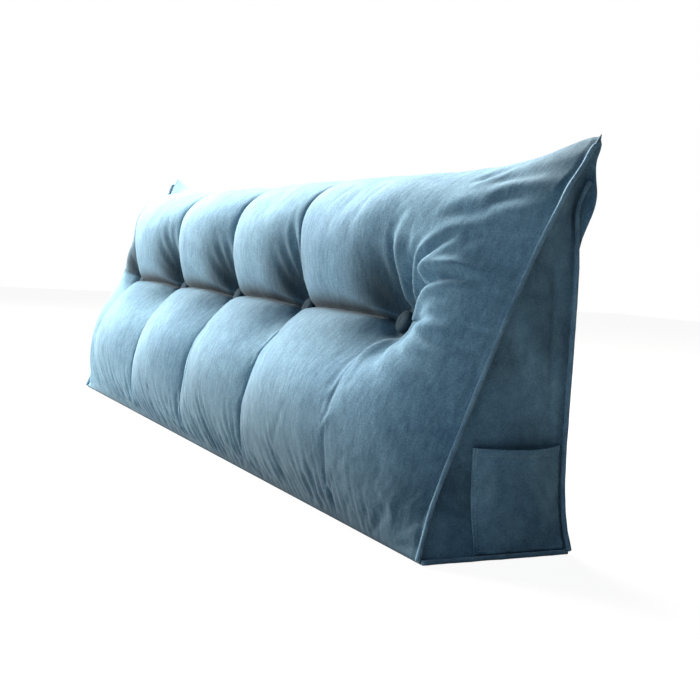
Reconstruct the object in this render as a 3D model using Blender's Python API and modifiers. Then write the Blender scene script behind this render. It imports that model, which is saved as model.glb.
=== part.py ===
# Backrest pillow: a long wedge cushion with one row of covered buttons, corded end seams and an end pocket.
# Metres. +X runs along the length, the leaning face looks towards -Y, +Z is up.
# The origin is the centre of the flat base, on the surface that the pillow stands on.
import math

import bmesh
import bpy
from mathutils import Vector
from mathutils.bvhtree import BVHTree
from mathutils.geometry import delaunay_2d_cdt

# Driving dimensions
LENGTH = 1.50
BASE_DEPTH = 0.20
EAR_HEIGHT = 0.478
BASE_CHAMFER = 0.005
EDGE_SET_BACK = 0.002
END_ROUNDING = 0.20
END_FULLNESS = 0.85
EAR_REACH = 0.36
BACK_CROWN = 0.014
BACK_FULLNESS = 0.7
BUTTON_COUNT = 5
BUTTON_SPACING = 0.28
BUTTON_SHARE = 0.492
BUTTON_RADIUS = 0.015
BUTTON_THICKNESS = 0.009
BUTTON_STEPS = 24
SEAT_HEIGHT = 0.021
SEAT_RADIUS = 0.017
SEAT_BLEND = 0.020
VALLEY_SHARPNESS = 2.3
CREASE_DEPTH = 0.007
CREASE_WIDTH = 0.008
CREASE_FADE_SHARES = (0.2, 0.9, 0.1)
LINE_BLEND_SHARE = 0.06
FOLD_LEAD = 0.25
FOLD_TAIL = 0.35
WELT_RADIUS = 0.003
BASE_WELT_SET_BACK = 0.0052
BASE_WELT_STEPS = 6
WELT_SUBSTEPS = 3
SETTLING_STEPS = 30
SETTLING_MARGIN = 0.00002
GAP = 0.0004
POCKET_FRONT_Y = -0.026
POCKET_REAR_Y = 0.0915
POCKET_FOOT_Z = 0.0072
POCKET_HEIGHT = 0.122
POCKET_RIM_SAG = 0.002
POCKET_GAPE = 0.0115
POCKET_SQUARENESS = 2.6
POCKET_SWELL_SHARE = 0.42
POCKET_COLUMNS = 12
POCKET_ROWS = (0.0, 0.05, 0.12, 0.22, 0.34, 0.46, 0.58, 0.70, 0.82, 0.91, 0.925, 1.0)
CLOTH_THICKNESS = 0.002
HEM_THICKNESS = 0.003

HALF_LENGTH = LENGTH / 2
HALF_DEPTH = BASE_DEPTH / 2
FRONT_FOOT = Vector((-HALF_DEPTH + EDGE_SET_BACK, BASE_CHAMFER))
REAR_FOOT = Vector((HALF_DEPTH - EDGE_SET_BACK, BASE_CHAMFER))
EAR_TOP = Vector((HALF_DEPTH - 2 * EDGE_SET_BACK, EAR_HEIGHT))
SLANT_LENGTH = (EAR_TOP - FRONT_FOOT).length
ALONG = (EAR_TOP - FRONT_FOOT).normalized()
OUTWARD = Vector((-ALONG.y, ALONG.x))

# The front's profile from the bottom seam to the top seam. Share is the distance up the straight slant as a
# part of its length, and the heights are over that slant. The top edge sits lower between the ears.
FRONT_PROFILE = (
    # share, share at an ear, height between two lines, on a button's line, past the last button
    (0.000, 0.000, 0.000, 0.000, 0.000),
    (0.040, 0.040, 0.026, 0.024, 0.026),
    (0.090, 0.090, 0.050, 0.043, 0.046),
    (0.150, 0.150, 0.070, 0.054, 0.062),
    (0.220, 0.220, 0.083, 0.062, 0.074),
    (0.290, 0.290, 0.086, 0.064, 0.081),
    (0.355, 0.355, 0.081, 0.057, 0.083),
    (0.415, 0.415, 0.066, 0.044, 0.082),
    (0.460, 0.460, 0.048, 0.034, 0.080),
    (0.492, 0.492, 0.036, 0.030, 0.079),
    (0.522, 0.522, 0.045, 0.034, 0.080),
    (0.565, 0.565, 0.069, 0.050, 0.085),
    (0.625, 0.625, 0.092, 0.070, 0.091),
    (0.700, 0.700, 0.101, 0.081, 0.093),
    (0.765, 0.775, 0.095, 0.078, 0.086),
    (0.820, 0.850, 0.076, 0.064, 0.068),
    (0.862, 0.910, 0.049, 0.041, 0.044),
    (0.895, 0.960, 0.016, 0.012, 0.016),
    (0.910, 1.000, -0.020, -0.020, -0.020),
)
TOP_SHARE = FRONT_PROFILE[-1][0]

# Uneven filling: how strongly each button's line creases the front above and below it, left to right
LINE_STRENGTHS = (
    # above, below
    (0.8, 0.8),
    (1.1, 0.9),
    (1.2, 1.2),
    (1.0, 0.8),
    (1.0, 0.9),
)

# Folds that run out from the buttons: each is a straight groove between two places on the front
FOLDS = (
    # x and share where it starts, x and share where it ends, depth, half width
    (0.578, 0.535, 0.612, 0.660, 0.005, 0.009),
    (0.592, 0.520, 0.655, 0.655, 0.006, 0.009),
    (0.600, 0.510, 0.700, 0.605, 0.010, 0.010),
    (0.640, 0.488, 0.722, 0.512, 0.006, 0.010),
    (0.600, 0.455, 0.668, 0.385, 0.005, 0.011),
    (-0.024, 0.530, -0.032, 0.660, 0.005, 0.008),
    (-0.300, 0.525, -0.326, 0.660, 0.005, 0.008),
    (0.022, 0.400, 0.026, 0.250, 0.004, 0.008),
)

# How far each end panel is drawn in from its corners, by height
END_DRAW_IN = (
    # height, right end's front seam, both ends' rear seams, left end's front seam
    (0.000, 0.002, 0.000, 0.024),
    (0.030, 0.010, 0.012, 0.031),
    (0.060, 0.017, 0.019, 0.035),
    (0.100, 0.020, 0.023, 0.036),
    (0.250, 0.024, 0.026, 0.036),
    (0.310, 0.023, 0.028, 0.034),
    (0.360, 0.018, 0.033, 0.028),
    (0.390, 0.013, 0.037, 0.021),
    (0.420, 0.010, 0.029, 0.013),
    (0.450, 0.005, 0.014, 0.006),
    (0.478, 0.000, 0.000, 0.000),
)
FRONT_DRAW_LENGTH = 0.16
REAR_DRAW_LENGTH = 0.05
# The back panel's slack lip beside each rear seam, under the ear
LIP_HEIGHT = 0.400
LIP_SPAN = 0.045
LIP_DEPTH = 0.008
LIP_X = 0.738
LIP_WIDTH = 0.014
# How a cord lies beside its seam: part across the face next to the end, and deeper in the recess of the lip
FRONT_CORD_WAY = (0.80, 0.60)
REAR_CORD_TURN = 0.10
LIP_CORD_TURN = 0.50
LIP_CORD_EXTRA = 0.80

# Rows of the front, as shares, closer together at the button row; columns, as distances from a button's line
FRONT_ROWS = (
    0.0, 0.025, 0.055, 0.09, 0.13, 0.18, 0.235, 0.29, 0.34, 0.385, 0.42, 0.445, 0.463, 0.479, BUTTON_SHARE,
    0.505, 0.521, 0.540, 0.565, 0.595, 0.63, 0.67, 0.71, 0.75, 0.79, 0.825, 0.855, 0.88, 0.898, TOP_SHARE,
)
COLUMN_OFFSETS = (0.0, 0.006, 0.016, 0.034, 0.062, 0.098)
FOLD_COLUMNS = (0.584, 0.603, 0.613, 0.632, 0.642, 0.652, 0.668, 0.679, 0.700)
END_COLUMNS = (0.690, 0.712, 0.730, 0.742)
BACK_ROWS = (0.05, 0.10, 0.15, 0.20, 0.26, 0.34, 0.45, 0.58, 0.72, 0.86)
BASE_ROWS = 4
PANEL_ROWS = (0.02, 0.045, 0.075, 0.11, 0.15, 0.20, 0.25, 0.30)
PANEL_PITCH = 0.04

# Half of a covered button's outline, from the middle of its flat back to the top of its dome
BUTTON_PROFILE = (
    # radius and height, as parts of the button's own
    (0.00, 0.00),
    (0.80, 0.00),
    (0.96, 0.16),
    (1.00, 0.40),
    (0.93, 0.66),
    (0.72, 0.88),
    (0.38, 0.98),
    (0.00, 1.00),
)

VELVET = (0.115, 0.225, 0.300)


def smooth(value):
    value = min(1.0, max(0.0, value))
    return value * value * (3.0 - 2.0 * value)


def curve_through(rows, at, column):
    """A smooth curve through one column of a table, read at a value of the table's first column."""
    keys = [row[0] for row in rows]
    values = [row[column] for row in rows]
    last = len(keys) - 1
    if at <= keys[0]:
        return values[0]
    if at >= keys[last]:
        return values[last]
    left = max(k for k in range(last) if keys[k] <= at)
    span = keys[left + 1] - keys[left]
    t = (at - keys[left]) / span
    slopes = []
    for k in (left, left + 1):
        low = max(0, k - 1)
        high = min(last, k + 1)
        slopes.append((values[high] - values[low]) / (keys[high] - keys[low]))
    rise = (2 * t**3 - 3 * t**2 + 1) * values[left] + (3 * t**2 - 2 * t**3) * values[left + 1]
    return rise + (t**3 - 2 * t**2 + t) * span * slopes[0] + (t**3 - t**2) * span * slopes[1]


def button_lines():
    first = -(BUTTON_COUNT - 1) / 2
    return [(first + k) * BUTTON_SPACING for k in range(BUTTON_COUNT)]


def end_rise(x):
    """The part of its full height that the front has at x: none at an end seam, all of it a span inwards."""
    inward = min(1.0, max(0.0, (HALF_LENGTH - abs(x)) / END_ROUNDING))
    return math.sin(inward * math.pi / 2) ** END_FULLNESS


def ear_share(x):
    return min(1.0, max(0.0, (abs(x) - HALF_LENGTH + EAR_REACH) / EAR_REACH)) ** 2


def fold_depth(x, share):
    """How deep the folds round the buttons are at a place on the front. Each fades towards its tail."""
    depth = 0.0
    for x0, share0, x1, share1, deep, half_width in FOLDS:
        start = Vector((x0, share0 * SLANT_LENGTH))
        run = Vector((x1, share1 * SLANT_LENGTH)) - start
        offset = Vector((x, share * SLANT_LENGTH)) - start
        t = min(1.0, max(0.0, offset.dot(run) / run.length_squared))
        away = (offset - run * t).length
        strength = FOLD_TAIL + (1 - FOLD_TAIL) * math.sin(math.pi * min(1.0, t + FOLD_LEAD))
        depth += deep * strength * math.exp(-((away / half_width) ** 2))
    return depth


def front_height(x, share):
    """The front's height over the straight slant."""
    lines = button_lines()
    away, nearest = min((abs(x - line), number) for number, line in enumerate(lines))
    above = smooth((share - BUTTON_SHARE) / LINE_BLEND_SHARE + 0.5)
    strength = LINE_STRENGTHS[nearest][0] * above + LINE_STRENGTHS[nearest][1] * (1 - above)
    full = curve_through(FRONT_PROFILE, share, 4 if abs(x) > lines[-1] else 2)
    valley = (1 - min(1.0, away / (BUTTON_SPACING / 2))) ** VALLEY_SHARPNESS
    height = full - (full - curve_through(FRONT_PROFILE, share, 3)) * valley * strength
    run_in, end, run_out = CREASE_FADE_SHARES
    crease = math.exp(-away / CREASE_WIDTH) * smooth(share / run_in) * smooth((end - share) / run_out)
    height -= CREASE_DEPTH * strength * crease + fold_depth(x, share)
    droop = min(0.0, height) * (1 - ear_share(x))
    height = max(0.0, height) * end_rise(x) + droop
    from_button = math.hypot(away, (share - BUTTON_SHARE) * SLANT_LENGTH)
    seat = 1 - smooth((from_button - SEAT_RADIUS) / SEAT_BLEND)
    return height + (SEAT_HEIGHT - height) * seat


def front_point(x, share):
    """The front's place across the pillow, as (y, z)."""
    ear = ear_share(x)
    along = curve_through(FRONT_PROFILE, share, 1) * ear + share * (1 - ear)
    return FRONT_FOOT + ALONG * (along * SLANT_LENGTH) + OUTWARD * front_height(x, share)


def lip_share(x, height):
    return math.exp(-(((height - LIP_HEIGHT) / LIP_SPAN) ** 2) - ((abs(x) - LIP_X) / LIP_WIDTH) ** 2)


def back_point(x, share):
    """The back's place across the pillow, as (y, z), from its top seam at 0 down to its bottom seam at 1."""
    place = front_point(x, TOP_SHARE).lerp(REAR_FOOT, share)
    crown = BACK_CROWN * math.sin(share * math.pi) ** BACK_FULLNESS * end_rise(x)
    return place + Vector((crown + LIP_DEPTH * lip_share(x, place.y), 0.0))


def base_point(share):
    """The flat base's place across the pillow, as (y, z), from the rear foot to the front foot."""
    if share in (0.0, 1.0):
        return REAR_FOOT if share == 0.0 else FRONT_FOOT
    edge = HALF_DEPTH - EDGE_SET_BACK - BASE_CHAMFER
    inner = (share - 1 / BASE_ROWS) / (1 - 2 / BASE_ROWS)
    return Vector((edge * (1 - 2 * inner), 0.0))


def section(x):
    """A closed section at x, as (place, is_front) pairs: up the front, down the back, along the base."""
    loop = [(front_point(x, share), True) for share in FRONT_ROWS]
    loop += [(back_point(x, share), False) for share in BACK_ROWS]
    loop += [(base_point(k / BASE_ROWS), False) for k in range(BASE_ROWS)]
    return loop


def draw_in(x, place, is_front):
    """How far a point at x moves towards the middle, so that the ends are drawn in between their corners."""
    column = 2
    reach = REAR_DRAW_LENGTH
    if is_front:
        column = 1 if x > 0 else 3
        reach = FRONT_DRAW_LENGTH
    amount = curve_through(END_DRAW_IN, place.y, column)
    if not is_front and place.y <= BASE_CHAMFER:
        across = (place.x + HALF_DEPTH) / BASE_DEPTH
        amount = END_DRAW_IN[0][1 if x > 0 else 3] * (1 - across) ** 2
    if not is_front:
        reach -= (REAR_DRAW_LENGTH - LIP_WIDTH) * math.exp(-(((place.y - LIP_HEIGHT) / LIP_SPAN) ** 2))
    nearness = max(0.0, 1 - (HALF_LENGTH - abs(x)) / reach)
    return math.copysign(amount * nearness**2, x)


def column_places():
    places = {0.0}
    for line in button_lines():
        places |= {line + side * offset for offset in COLUMN_OFFSETS for side in (-1, 1)}
        places.add(line + BUTTON_SPACING / 2)
    places = {round(x, 5) for x in places if abs(x) < END_COLUMNS[0]} | set(FOLD_COLUMNS)
    places |= {side * x for x in (*END_COLUMNS, HALF_LENGTH) for side in (-1, 1)}
    return sorted(places)


def material(name, colour, roughness):
    made = bpy.data.materials.new(name)
    made.use_nodes = True
    shader = made.node_tree.nodes["Principled BSDF"]
    shader.inputs["Base Color"].default_value = (*colour, 1.0)
    shader.inputs["Roughness"].default_value = roughness
    shader.inputs["Metallic"].default_value = 0.0
    shader.inputs["Sheen Weight"].default_value = 0.4
    return made


def add_object(name, data, collection, finish):
    made = bpy.data.objects.new(name, data)
    collection.objects.link(made)
    made.data.materials.append(finish)
    return made


def end_panel_x(y, z, side):
    """An end panel's X at a place on it, from the draw-in of its two seams."""
    front_y = FRONT_FOOT.x + (EAR_TOP.x - FRONT_FOOT.x) * z / EAR_HEIGHT
    across = min(1.0, max(0.0, (y - front_y) / max(0.001, REAR_FOOT.x - front_y)))
    at_front = curve_through(END_DRAW_IN, z, 1 if side > 0 else 3)
    at_rear = curve_through(END_DRAW_IN, z, 2)
    return side * (HALF_LENGTH - at_front * (1 - across) - at_rear * across)


def panel_grid():
    """Places inside the end panel, as (y, z), clear of its seams."""
    places = []
    for z in PANEL_ROWS:
        front_y = FRONT_FOOT.x + (EAR_TOP.x - FRONT_FOOT.x) * z / EAR_HEIGHT
        span = REAR_FOOT.x - front_y
        count = max(1, round(span / PANEL_PITCH))
        places += [(front_y + span * (k + 0.5) / count, z) for k in range(count)]
    return places


def close_end(bm, loop, side):
    """Closes one end of the loft with a triangulated panel through the seam and the places inside it."""
    inside = [bm.verts.new((end_panel_x(y, z, side), y, z)) for y, z in panel_grid()]
    verts = loop + inside
    flat = [Vector((vert.co.y, vert.co.z)) for vert in verts]
    edges = [(k, (k + 1) % len(loop)) for k in range(len(loop))]
    made = delaunay_2d_cdt(flat, edges, [], 1, 1e-6)
    for face in made[2]:
        bm.faces.new([verts[made[3][k][0]] for k in face])


def build_cushion(collection, finish):
    bm = bmesh.new()
    columns = []
    for x in column_places():
        column = []
        for place, is_front in section(x):
            column.append(bm.verts.new((x - draw_in(x, place, is_front), place.x, place.y)))
        columns.append(column)
    count = len(columns[0])
    for left, right in zip(columns, columns[1:]):
        for k in range(count):
            below = (k + 1) % count
            bm.faces.new((left[k], right[k], right[below], left[below]))
    close_end(bm, columns[0], -1)
    close_end(bm, columns[-1], 1)
    bmesh.ops.triangulate(bm, faces=bm.faces)
    bmesh.ops.recalc_face_normals(bm, faces=bm.faces)
    tree = BVHTree.FromBMesh(bm)
    mesh = bpy.data.meshes.new("cushion")
    bm.to_mesh(mesh)
    bm.free()
    add_object("cushion", mesh, collection, finish)
    return tree


def button_seat(x):
    place = FRONT_FOOT + ALONG * (BUTTON_SHARE * SLANT_LENGTH) + OUTWARD * SEAT_HEIGHT
    return Vector((x, place.x, place.y))


def build_buttons(collection, finish):
    """Covered buttons, each a turned dome with a flat back, seated in the pits of the front."""
    bm = bmesh.new()
    chain = [bm.verts.new((r * BUTTON_RADIUS, 0.0, h * BUTTON_THICKNESS)) for r, h in BUTTON_PROFILE]
    for low, high in zip(chain, chain[1:]):
        bm.edges.new((low, high))
    mesh = bpy.data.meshes.new("button")
    bm.to_mesh(mesh)
    bm.free()
    normal = Vector((0.0, OUTWARD.x, OUTWARD.y))
    for number, x in enumerate(button_lines(), start=1):
        made = add_object(f"button_{number}", mesh.copy(), collection, finish)
        turn = made.modifiers.new("turn", "SCREW")
        turn.axis = "Z"
        turn.steps = BUTTON_STEPS
        turn.render_steps = BUTTON_STEPS
        turn.use_merge_vertices = True
        turn.merge_threshold = 0.00001
        turn.use_normal_flip = True
        made.rotation_mode = "QUATERNION"
        made.rotation_quaternion = normal.to_track_quat("Z", "Y")
        made.location = button_seat(x) + normal * GAP


def seam_points(side, which):
    """An end panel's seam at one end, as world points on the cushion's edge or just off its base edge."""
    points = []
    if which == "base":
        edge = HALF_DEPTH - BASE_WELT_SET_BACK
        for k in range(BASE_WELT_STEPS + 1):
            y = edge * (2 * k / BASE_WELT_STEPS - 1)
            x = HALF_LENGTH * side - draw_in(HALF_LENGTH * side, Vector((y, 0.0)), False)
            points.append(Vector((x, y, WELT_RADIUS + 2 * GAP)))
        return points
    if which == "front":
        places = [front_point(HALF_LENGTH, share) for share in FRONT_ROWS[:-1]]
    else:
        places = [back_point(HALF_LENGTH, share) for share in (*BACK_ROWS[1:], 1.0)]
    for place in places:
        x = HALF_LENGTH * side
        x -= draw_in(x, place, which == "front")
        points.append(Vector((x, place.x, place.y)))
    return points


def way_off(which, side, height):
    """The way that a cord's point moves off its seam: out from the end, and further beside the lip."""
    if which == "front":
        out, across = FRONT_CORD_WAY
        return Vector((out * side, across * OUTWARD.x, across * OUTWARD.y))
    if which == "base":
        return Vector((side, 0.0, 0.0))
    under_lip = math.exp(-(((height - LIP_HEIGHT) / LIP_SPAN) ** 2))
    way = Vector((side, REAR_CORD_TURN - LIP_CORD_TURN * under_lip, 0.0))
    return way.normalized() * (1 + LIP_CORD_EXTRA * under_lip)


def stood_off(points, which, side, tree, distance):
    """Points moved off the cushion until each is a distance clear of it, with more between each two."""
    between = [k / WELT_SUBSTEPS for k in range(WELT_SUBSTEPS)]
    points = [low.lerp(high, t) for low, high in zip(points, points[1:]) for t in between] + points[-1:]
    placed = []
    for point in points:
        place = point + way_off(which, side, point.z) * distance
        for _ in range(SETTLING_STEPS):
            near, _, _, gap = tree.find_nearest(place)
            if gap >= distance:
                break
            place = near + (place - near).normalized() * (distance + SETTLING_MARGIN)
            if which == "base":
                place.z = point.z
        placed.append(place)
    return placed


def build_welts(collection, finish, tree):
    """The cords sewn into the front, rear and base seams of each end panel."""
    stand_off = WELT_RADIUS + GAP
    for side, side_name in ((1, "right"), (-1, "left")):
        for which in ("front", "rear", "base"):
            name = f"welt_{side_name}_{which}"
            curve = bpy.data.curves.new(name, "CURVE")
            curve.dimensions = "3D"
            curve.bevel_depth = WELT_RADIUS
            curve.bevel_resolution = 2
            curve.use_fill_caps = True
            points = stood_off(seam_points(side, which), which, side, tree, stand_off)
            spline = curve.splines.new("POLY")
            spline.points.add(len(points) - 1)
            for point, place in zip(spline.points, points):
                point.co = (*place, 1.0)
            add_object(name, curve, collection, finish)


def build_pocket(collection, finish, tree):
    """The patch pocket on the right end panel: a sheet held along three edges, its mouth standing open."""
    bm = bmesh.new()
    grid = []
    for up in POCKET_ROWS:
        row = []
        for k in range(POCKET_COLUMNS + 1):
            across = k / POCKET_COLUMNS
            sag = POCKET_RIM_SAG * math.sin(across * math.pi)
            z = POCKET_FOOT_Z + (POCKET_HEIGHT - sag - POCKET_FOOT_Z) * up
            y = POCKET_FRONT_Y + (POCKET_REAR_Y - POCKET_FRONT_Y) * across
            fullness = 1 - abs(2 * across - 1) ** POCKET_SQUARENESS
            rise = 1 - (1 - min(1.0, up / POCKET_SWELL_SHARE)) ** 2
            panel = tree.ray_cast(Vector((LENGTH, y, z)), Vector((-1.0, 0.0, 0.0)))[0].x
            row.append(bm.verts.new((panel + 2 * GAP + POCKET_GAPE * fullness * rise, y, z)))
        grid.append(row)
    for low, high in zip(grid, grid[1:]):
        for k in range(POCKET_COLUMNS):
            bm.faces.new((low[k], low[k + 1], high[k + 1], high[k]))
    mesh = bpy.data.meshes.new("pocket")
    bm.verts.index_update()
    hem_rows = [vert.index for row in grid[-2:] for vert in row]
    bm.to_mesh(mesh)
    bm.free()
    made = add_object("pocket", mesh, collection, finish)
    hem = made.vertex_groups.new(name="hem")
    hem.add(hem_rows, 1.0, "REPLACE")
    shell = made.modifiers.new("cloth", "SOLIDIFY")
    shell.thickness = HEM_THICKNESS
    shell.offset = 1.0
    shell.vertex_group = "hem"
    shell.thickness_vertex_group = CLOTH_THICKNESS / HEM_THICKNESS


def main():
    for old in list(bpy.data.objects):
        bpy.data.objects.remove(old, do_unlink=True)
    collection = bpy.data.collections.new("backrest_pillow")
    bpy.context.scene.collection.children.link(collection)
    velvet = material("velvet", VELVET, 0.85)
    tree = build_cushion(collection, velvet)
    build_buttons(collection, material("button cloth", [0.6 * part for part in VELVET], 0.8))
    build_welts(collection, material("cord cloth", [0.9 * part for part in VELVET], 0.8), tree)
    build_pocket(collection, material("pocket cloth", [0.8 * part for part in VELVET], 0.85), tree)


main()
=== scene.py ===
# Looks of a long wedge backrest pillow in short-pile velvet: the filled cover with its tufting, folds and
# gathers, five covered buttons, corded end seams and a stitched side pocket. Metres, +X to the pocket end.
import math

import bmesh
import bpy
import numpy as np
from mathutils import Matrix, Vector
from mathutils.bvhtree import BVHTree
from mathutils.geometry import delaunay_2d_cdt


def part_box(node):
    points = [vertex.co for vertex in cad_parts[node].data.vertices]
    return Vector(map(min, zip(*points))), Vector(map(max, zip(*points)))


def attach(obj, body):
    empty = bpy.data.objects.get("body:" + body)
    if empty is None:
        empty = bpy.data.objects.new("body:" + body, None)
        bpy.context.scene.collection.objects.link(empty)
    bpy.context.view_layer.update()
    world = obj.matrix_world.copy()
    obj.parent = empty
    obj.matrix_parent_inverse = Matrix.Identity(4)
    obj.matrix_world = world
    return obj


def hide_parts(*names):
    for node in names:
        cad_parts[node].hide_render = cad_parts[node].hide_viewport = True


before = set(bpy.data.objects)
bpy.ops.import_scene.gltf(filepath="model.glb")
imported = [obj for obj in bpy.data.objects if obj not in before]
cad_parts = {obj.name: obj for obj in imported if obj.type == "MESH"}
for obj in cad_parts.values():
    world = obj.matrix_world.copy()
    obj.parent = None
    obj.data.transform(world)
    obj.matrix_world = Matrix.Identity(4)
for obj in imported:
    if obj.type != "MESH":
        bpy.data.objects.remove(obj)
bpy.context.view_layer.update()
print("frame loaded:", len(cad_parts), "nodes")

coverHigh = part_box("cushion")[1]
halfLength = coverHigh.x
buttonNames = sorted(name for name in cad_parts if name.startswith("button_"))
buttonXs = [(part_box(name)[0].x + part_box(name)[1].x) / 2 for name in buttonNames]
buttonGap = buttonXs[1] - buttonXs[0]

# The cover's form: the wedge, and how full it is. Shares run up the slanted front from 0 to topShare.
# A pair is where something starts to grow, and the run over which it does; with a negative run it grows
# as the value falls.
cover = {
    "baseDepth": 0.20,
    "earHeight": coverHigh.z,
    "chamfer": 0.005,
    "setBack": 0.002,
    # how the crown sinks towards the ends
    "endRounding": 0.20,
    "endFullness": 0.85,
    "lowRightRounding": 0.02,
    "lowRightShares": (0.52, -0.16),
    "highRightRounding": 0.07,
    "highRightShares": (0.60, 0.10),
    "endBlend": 0.14,
    "leftEndLowering": 0.20,
    "leftEndRun": 0.12,
    "leftTopLowering": 0.58,
    "leftTopShares": (0.58, 0.14),
    "backCrown": 0.014,
    "backFullness": 0.7,
    # the tufting's valleys and creases
    "buttonShare": 0.492,
    "aboveBlend": 0.06,
    "valleySharpness": 2.3,
    "valleyTopShares": (0.56, 0.20),
    "creaseWidth": 0.0050,
    "creaseFadeAbove": 0.16,
    "creaseFadeBelow": 0.14,
    "rowCreaseDepth": 0.021,
    "rowCreaseWidth": 0.0036,
    "rowFade": 0.03,
    # the buttons' seats, and the cones of cloth that run down to them
    "seatHeight": 0.021,
    "seatRadius": 0.016,
    "seatBlend": 0.014,
    "coneAbove": 0.66,
    "coneBelow": 0.62,
    "coneRight": 2.20,
    "coneRightBlend": 0.02,
    "coneEnd": 0.40,
    "coneEndBlend": 0.05,
    "coneEndSlope": 0.25,
    "coneFlare": 2.0,
    "coneSoftness": 0.008,
    "throatDepth": 0.008,
    "throatReach": 0.010,
    # the ears
    "earReach": 0.36,
    "earSetBack": 0.005,
    "tipHeights": (0.40, 0.07),
    "tipInsets": (0.08, -0.07),
    "earBlunting": 0.004,
    "bluntHeights": (0.450, 0.025),
    "bluntWidth": 0.020,
    "leftEarLift": 0.008,
    "liftHeights": (0.38, 0.10),
    "earPlump": 0.007,
    "plumpHeights": (0.39, 0.05),
    "plumpXs": (0.66, 0.07),
    "plumpShares": (0.0, 0.03),
    # how far from the ends the seams draw the cloth in, and the rolled lip behind each ear
    "frontDrawLength": 0.16,
    "rearDrawLength": 0.05,
    "lipHeight": 0.400,
    "lipSpan": 0.045,
    "lipDepth": 0.008,
    "lipX": 0.738,
    "lipWidth": 0.014,
}
frontProfile = np.array((
    # share, share at an ear, height between two lines, on a button's line, past the last button
    (0.000, 0.000, 0.000, 0.000, 0.000),
    (0.040, 0.040, 0.026, 0.024, 0.026),
    (0.090, 0.090, 0.050, 0.043, 0.046),
    (0.150, 0.150, 0.070, 0.054, 0.062),
    (0.220, 0.220, 0.083, 0.062, 0.074),
    (0.290, 0.290, 0.086, 0.064, 0.081),
    (0.355, 0.355, 0.081, 0.057, 0.083),
    (0.415, 0.415, 0.073, 0.046, 0.082),
    (0.450, 0.450, 0.067, 0.038, 0.080),
    (0.475, 0.475, 0.061, 0.034, 0.080),
    (0.492, 0.492, 0.055, 0.030, 0.080),
    (0.508, 0.508, 0.057, 0.034, 0.080),
    (0.530, 0.530, 0.063, 0.040, 0.081),
    (0.565, 0.565, 0.075, 0.052, 0.085),
    (0.625, 0.625, 0.092, 0.070, 0.091),
    (0.700, 0.700, 0.101, 0.081, 0.093),
    (0.765, 0.775, 0.095, 0.078, 0.086),
    (0.820, 0.850, 0.076, 0.064, 0.068),
    (0.862, 0.910, 0.049, 0.041, 0.044),
    (0.895, 0.960, 0.016, 0.012, 0.016),
    (0.910, 1.000, -0.020, -0.020, -0.020),
))
topShare = frontProfile[-1, 0]
tuftLines = np.array((
    # valley above the button, and below; crease depth above, and below; shares where it fades above, and
    # below; how much of the valley is left at the top
    (0.9, 1.0, 0.011, 0.003, 0.84, 0.28, 0.45),
    (1.1, 1.1, 0.016, 0.003, 0.91, 0.26, 0.85),
    (1.2, 1.3, 0.021, 0.012, 0.91, 0.08, 1.00),
    (1.0, 1.0, 0.012, 0.003, 0.88, 0.26, 0.45),
    (0.9, 0.5, 0.004, 0.000, 0.72, 0.38, 0.00),
))
endDrawIn = np.array((
    # height, right end's front seam, both ends' rear seams, left end's front seam
    (0.000, 0.002, 0.000, 0.048),
    (0.030, 0.010, 0.012, 0.046),
    (0.060, 0.017, 0.019, 0.040),
    (0.100, 0.020, 0.023, 0.036),
    (0.250, 0.024, 0.026, 0.036),
    (0.310, 0.023, 0.028, 0.034),
    (0.360, 0.018, 0.033, 0.028),
    (0.390, 0.013, 0.037, 0.021),
    (0.420, 0.010, 0.029, 0.013),
    (0.450, 0.005, 0.014, 0.006),
    (0.478, 0.000, 0.000, 0.000),
))
halfDepth = cover["baseDepth"] / 2
frontFoot = np.array((-halfDepth + cover["setBack"], cover["chamfer"]))
rearFoot = np.array((halfDepth - cover["setBack"], cover["chamfer"]))
earTop = np.array((halfDepth - 2 * cover["setBack"], cover["earHeight"]))
slant = np.linalg.norm(earTop - frontFoot)
along = (earTop - frontFoot) / slant
outward = np.array((-along[1], along[0]))


def smooth(value):
    value = np.clip(value, 0.0, 1.0)
    return value * value * (3 - 2 * value)


def ease(value, start, run):
    # grows from 0 at the start to 1 a run further on, smoothly
    return smooth((value - start) / run)


def blendAt(value, middle, width):
    # grows from 0 to 1 over a width that is centred on the middle
    return smooth((value - middle) / width + 0.5)


def falloff(distance, width):
    # 1 at no distance, and less the further off, as a bell
    return np.exp(-((distance / width) ** 2))


def curveThrough(keys, values, at):
    # a smooth curve through a table's column, or through rows of points
    keys = np.asarray(keys, float)
    values = np.asarray(values, float)
    at = np.clip(at, keys[0], keys[-1])
    lower = np.arange(len(keys)) - 1
    lower[0] = 0
    upper = np.arange(len(keys)) + 1
    upper[-1] = len(keys) - 1
    tail = (slice(None),) + (None,) * (values.ndim - 1)
    slopes = (values[upper] - values[lower]) / (keys[upper] - keys[lower])[tail]
    left = np.clip(np.searchsorted(keys, at, side="right") - 1, 0, len(keys) - 2)
    span = keys[left + 1] - keys[left]
    t = (at - keys[left]) / span
    t = t.reshape(t.shape + (1,) * (values.ndim - 1))
    span = span.reshape(span.shape + (1,) * (values.ndim - 1))
    ends = (2 * t**3 - 3 * t**2 + 1) * values[left] + (3 * t**2 - 2 * t**3) * values[left + 1]
    return ends + (t**3 - 2 * t**2 + t) * span * slopes[left] + (t**3 - t**2) * span * slopes[left + 1]


denseCount = 20001
rippleSines = (
    # how much shorter the sine's wave is, and its share of the whole
    (1.0, 0.5),
    (1.37, 0.3),
    (0.61, 0.35),
    (2.3, 0.15),
)


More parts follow.
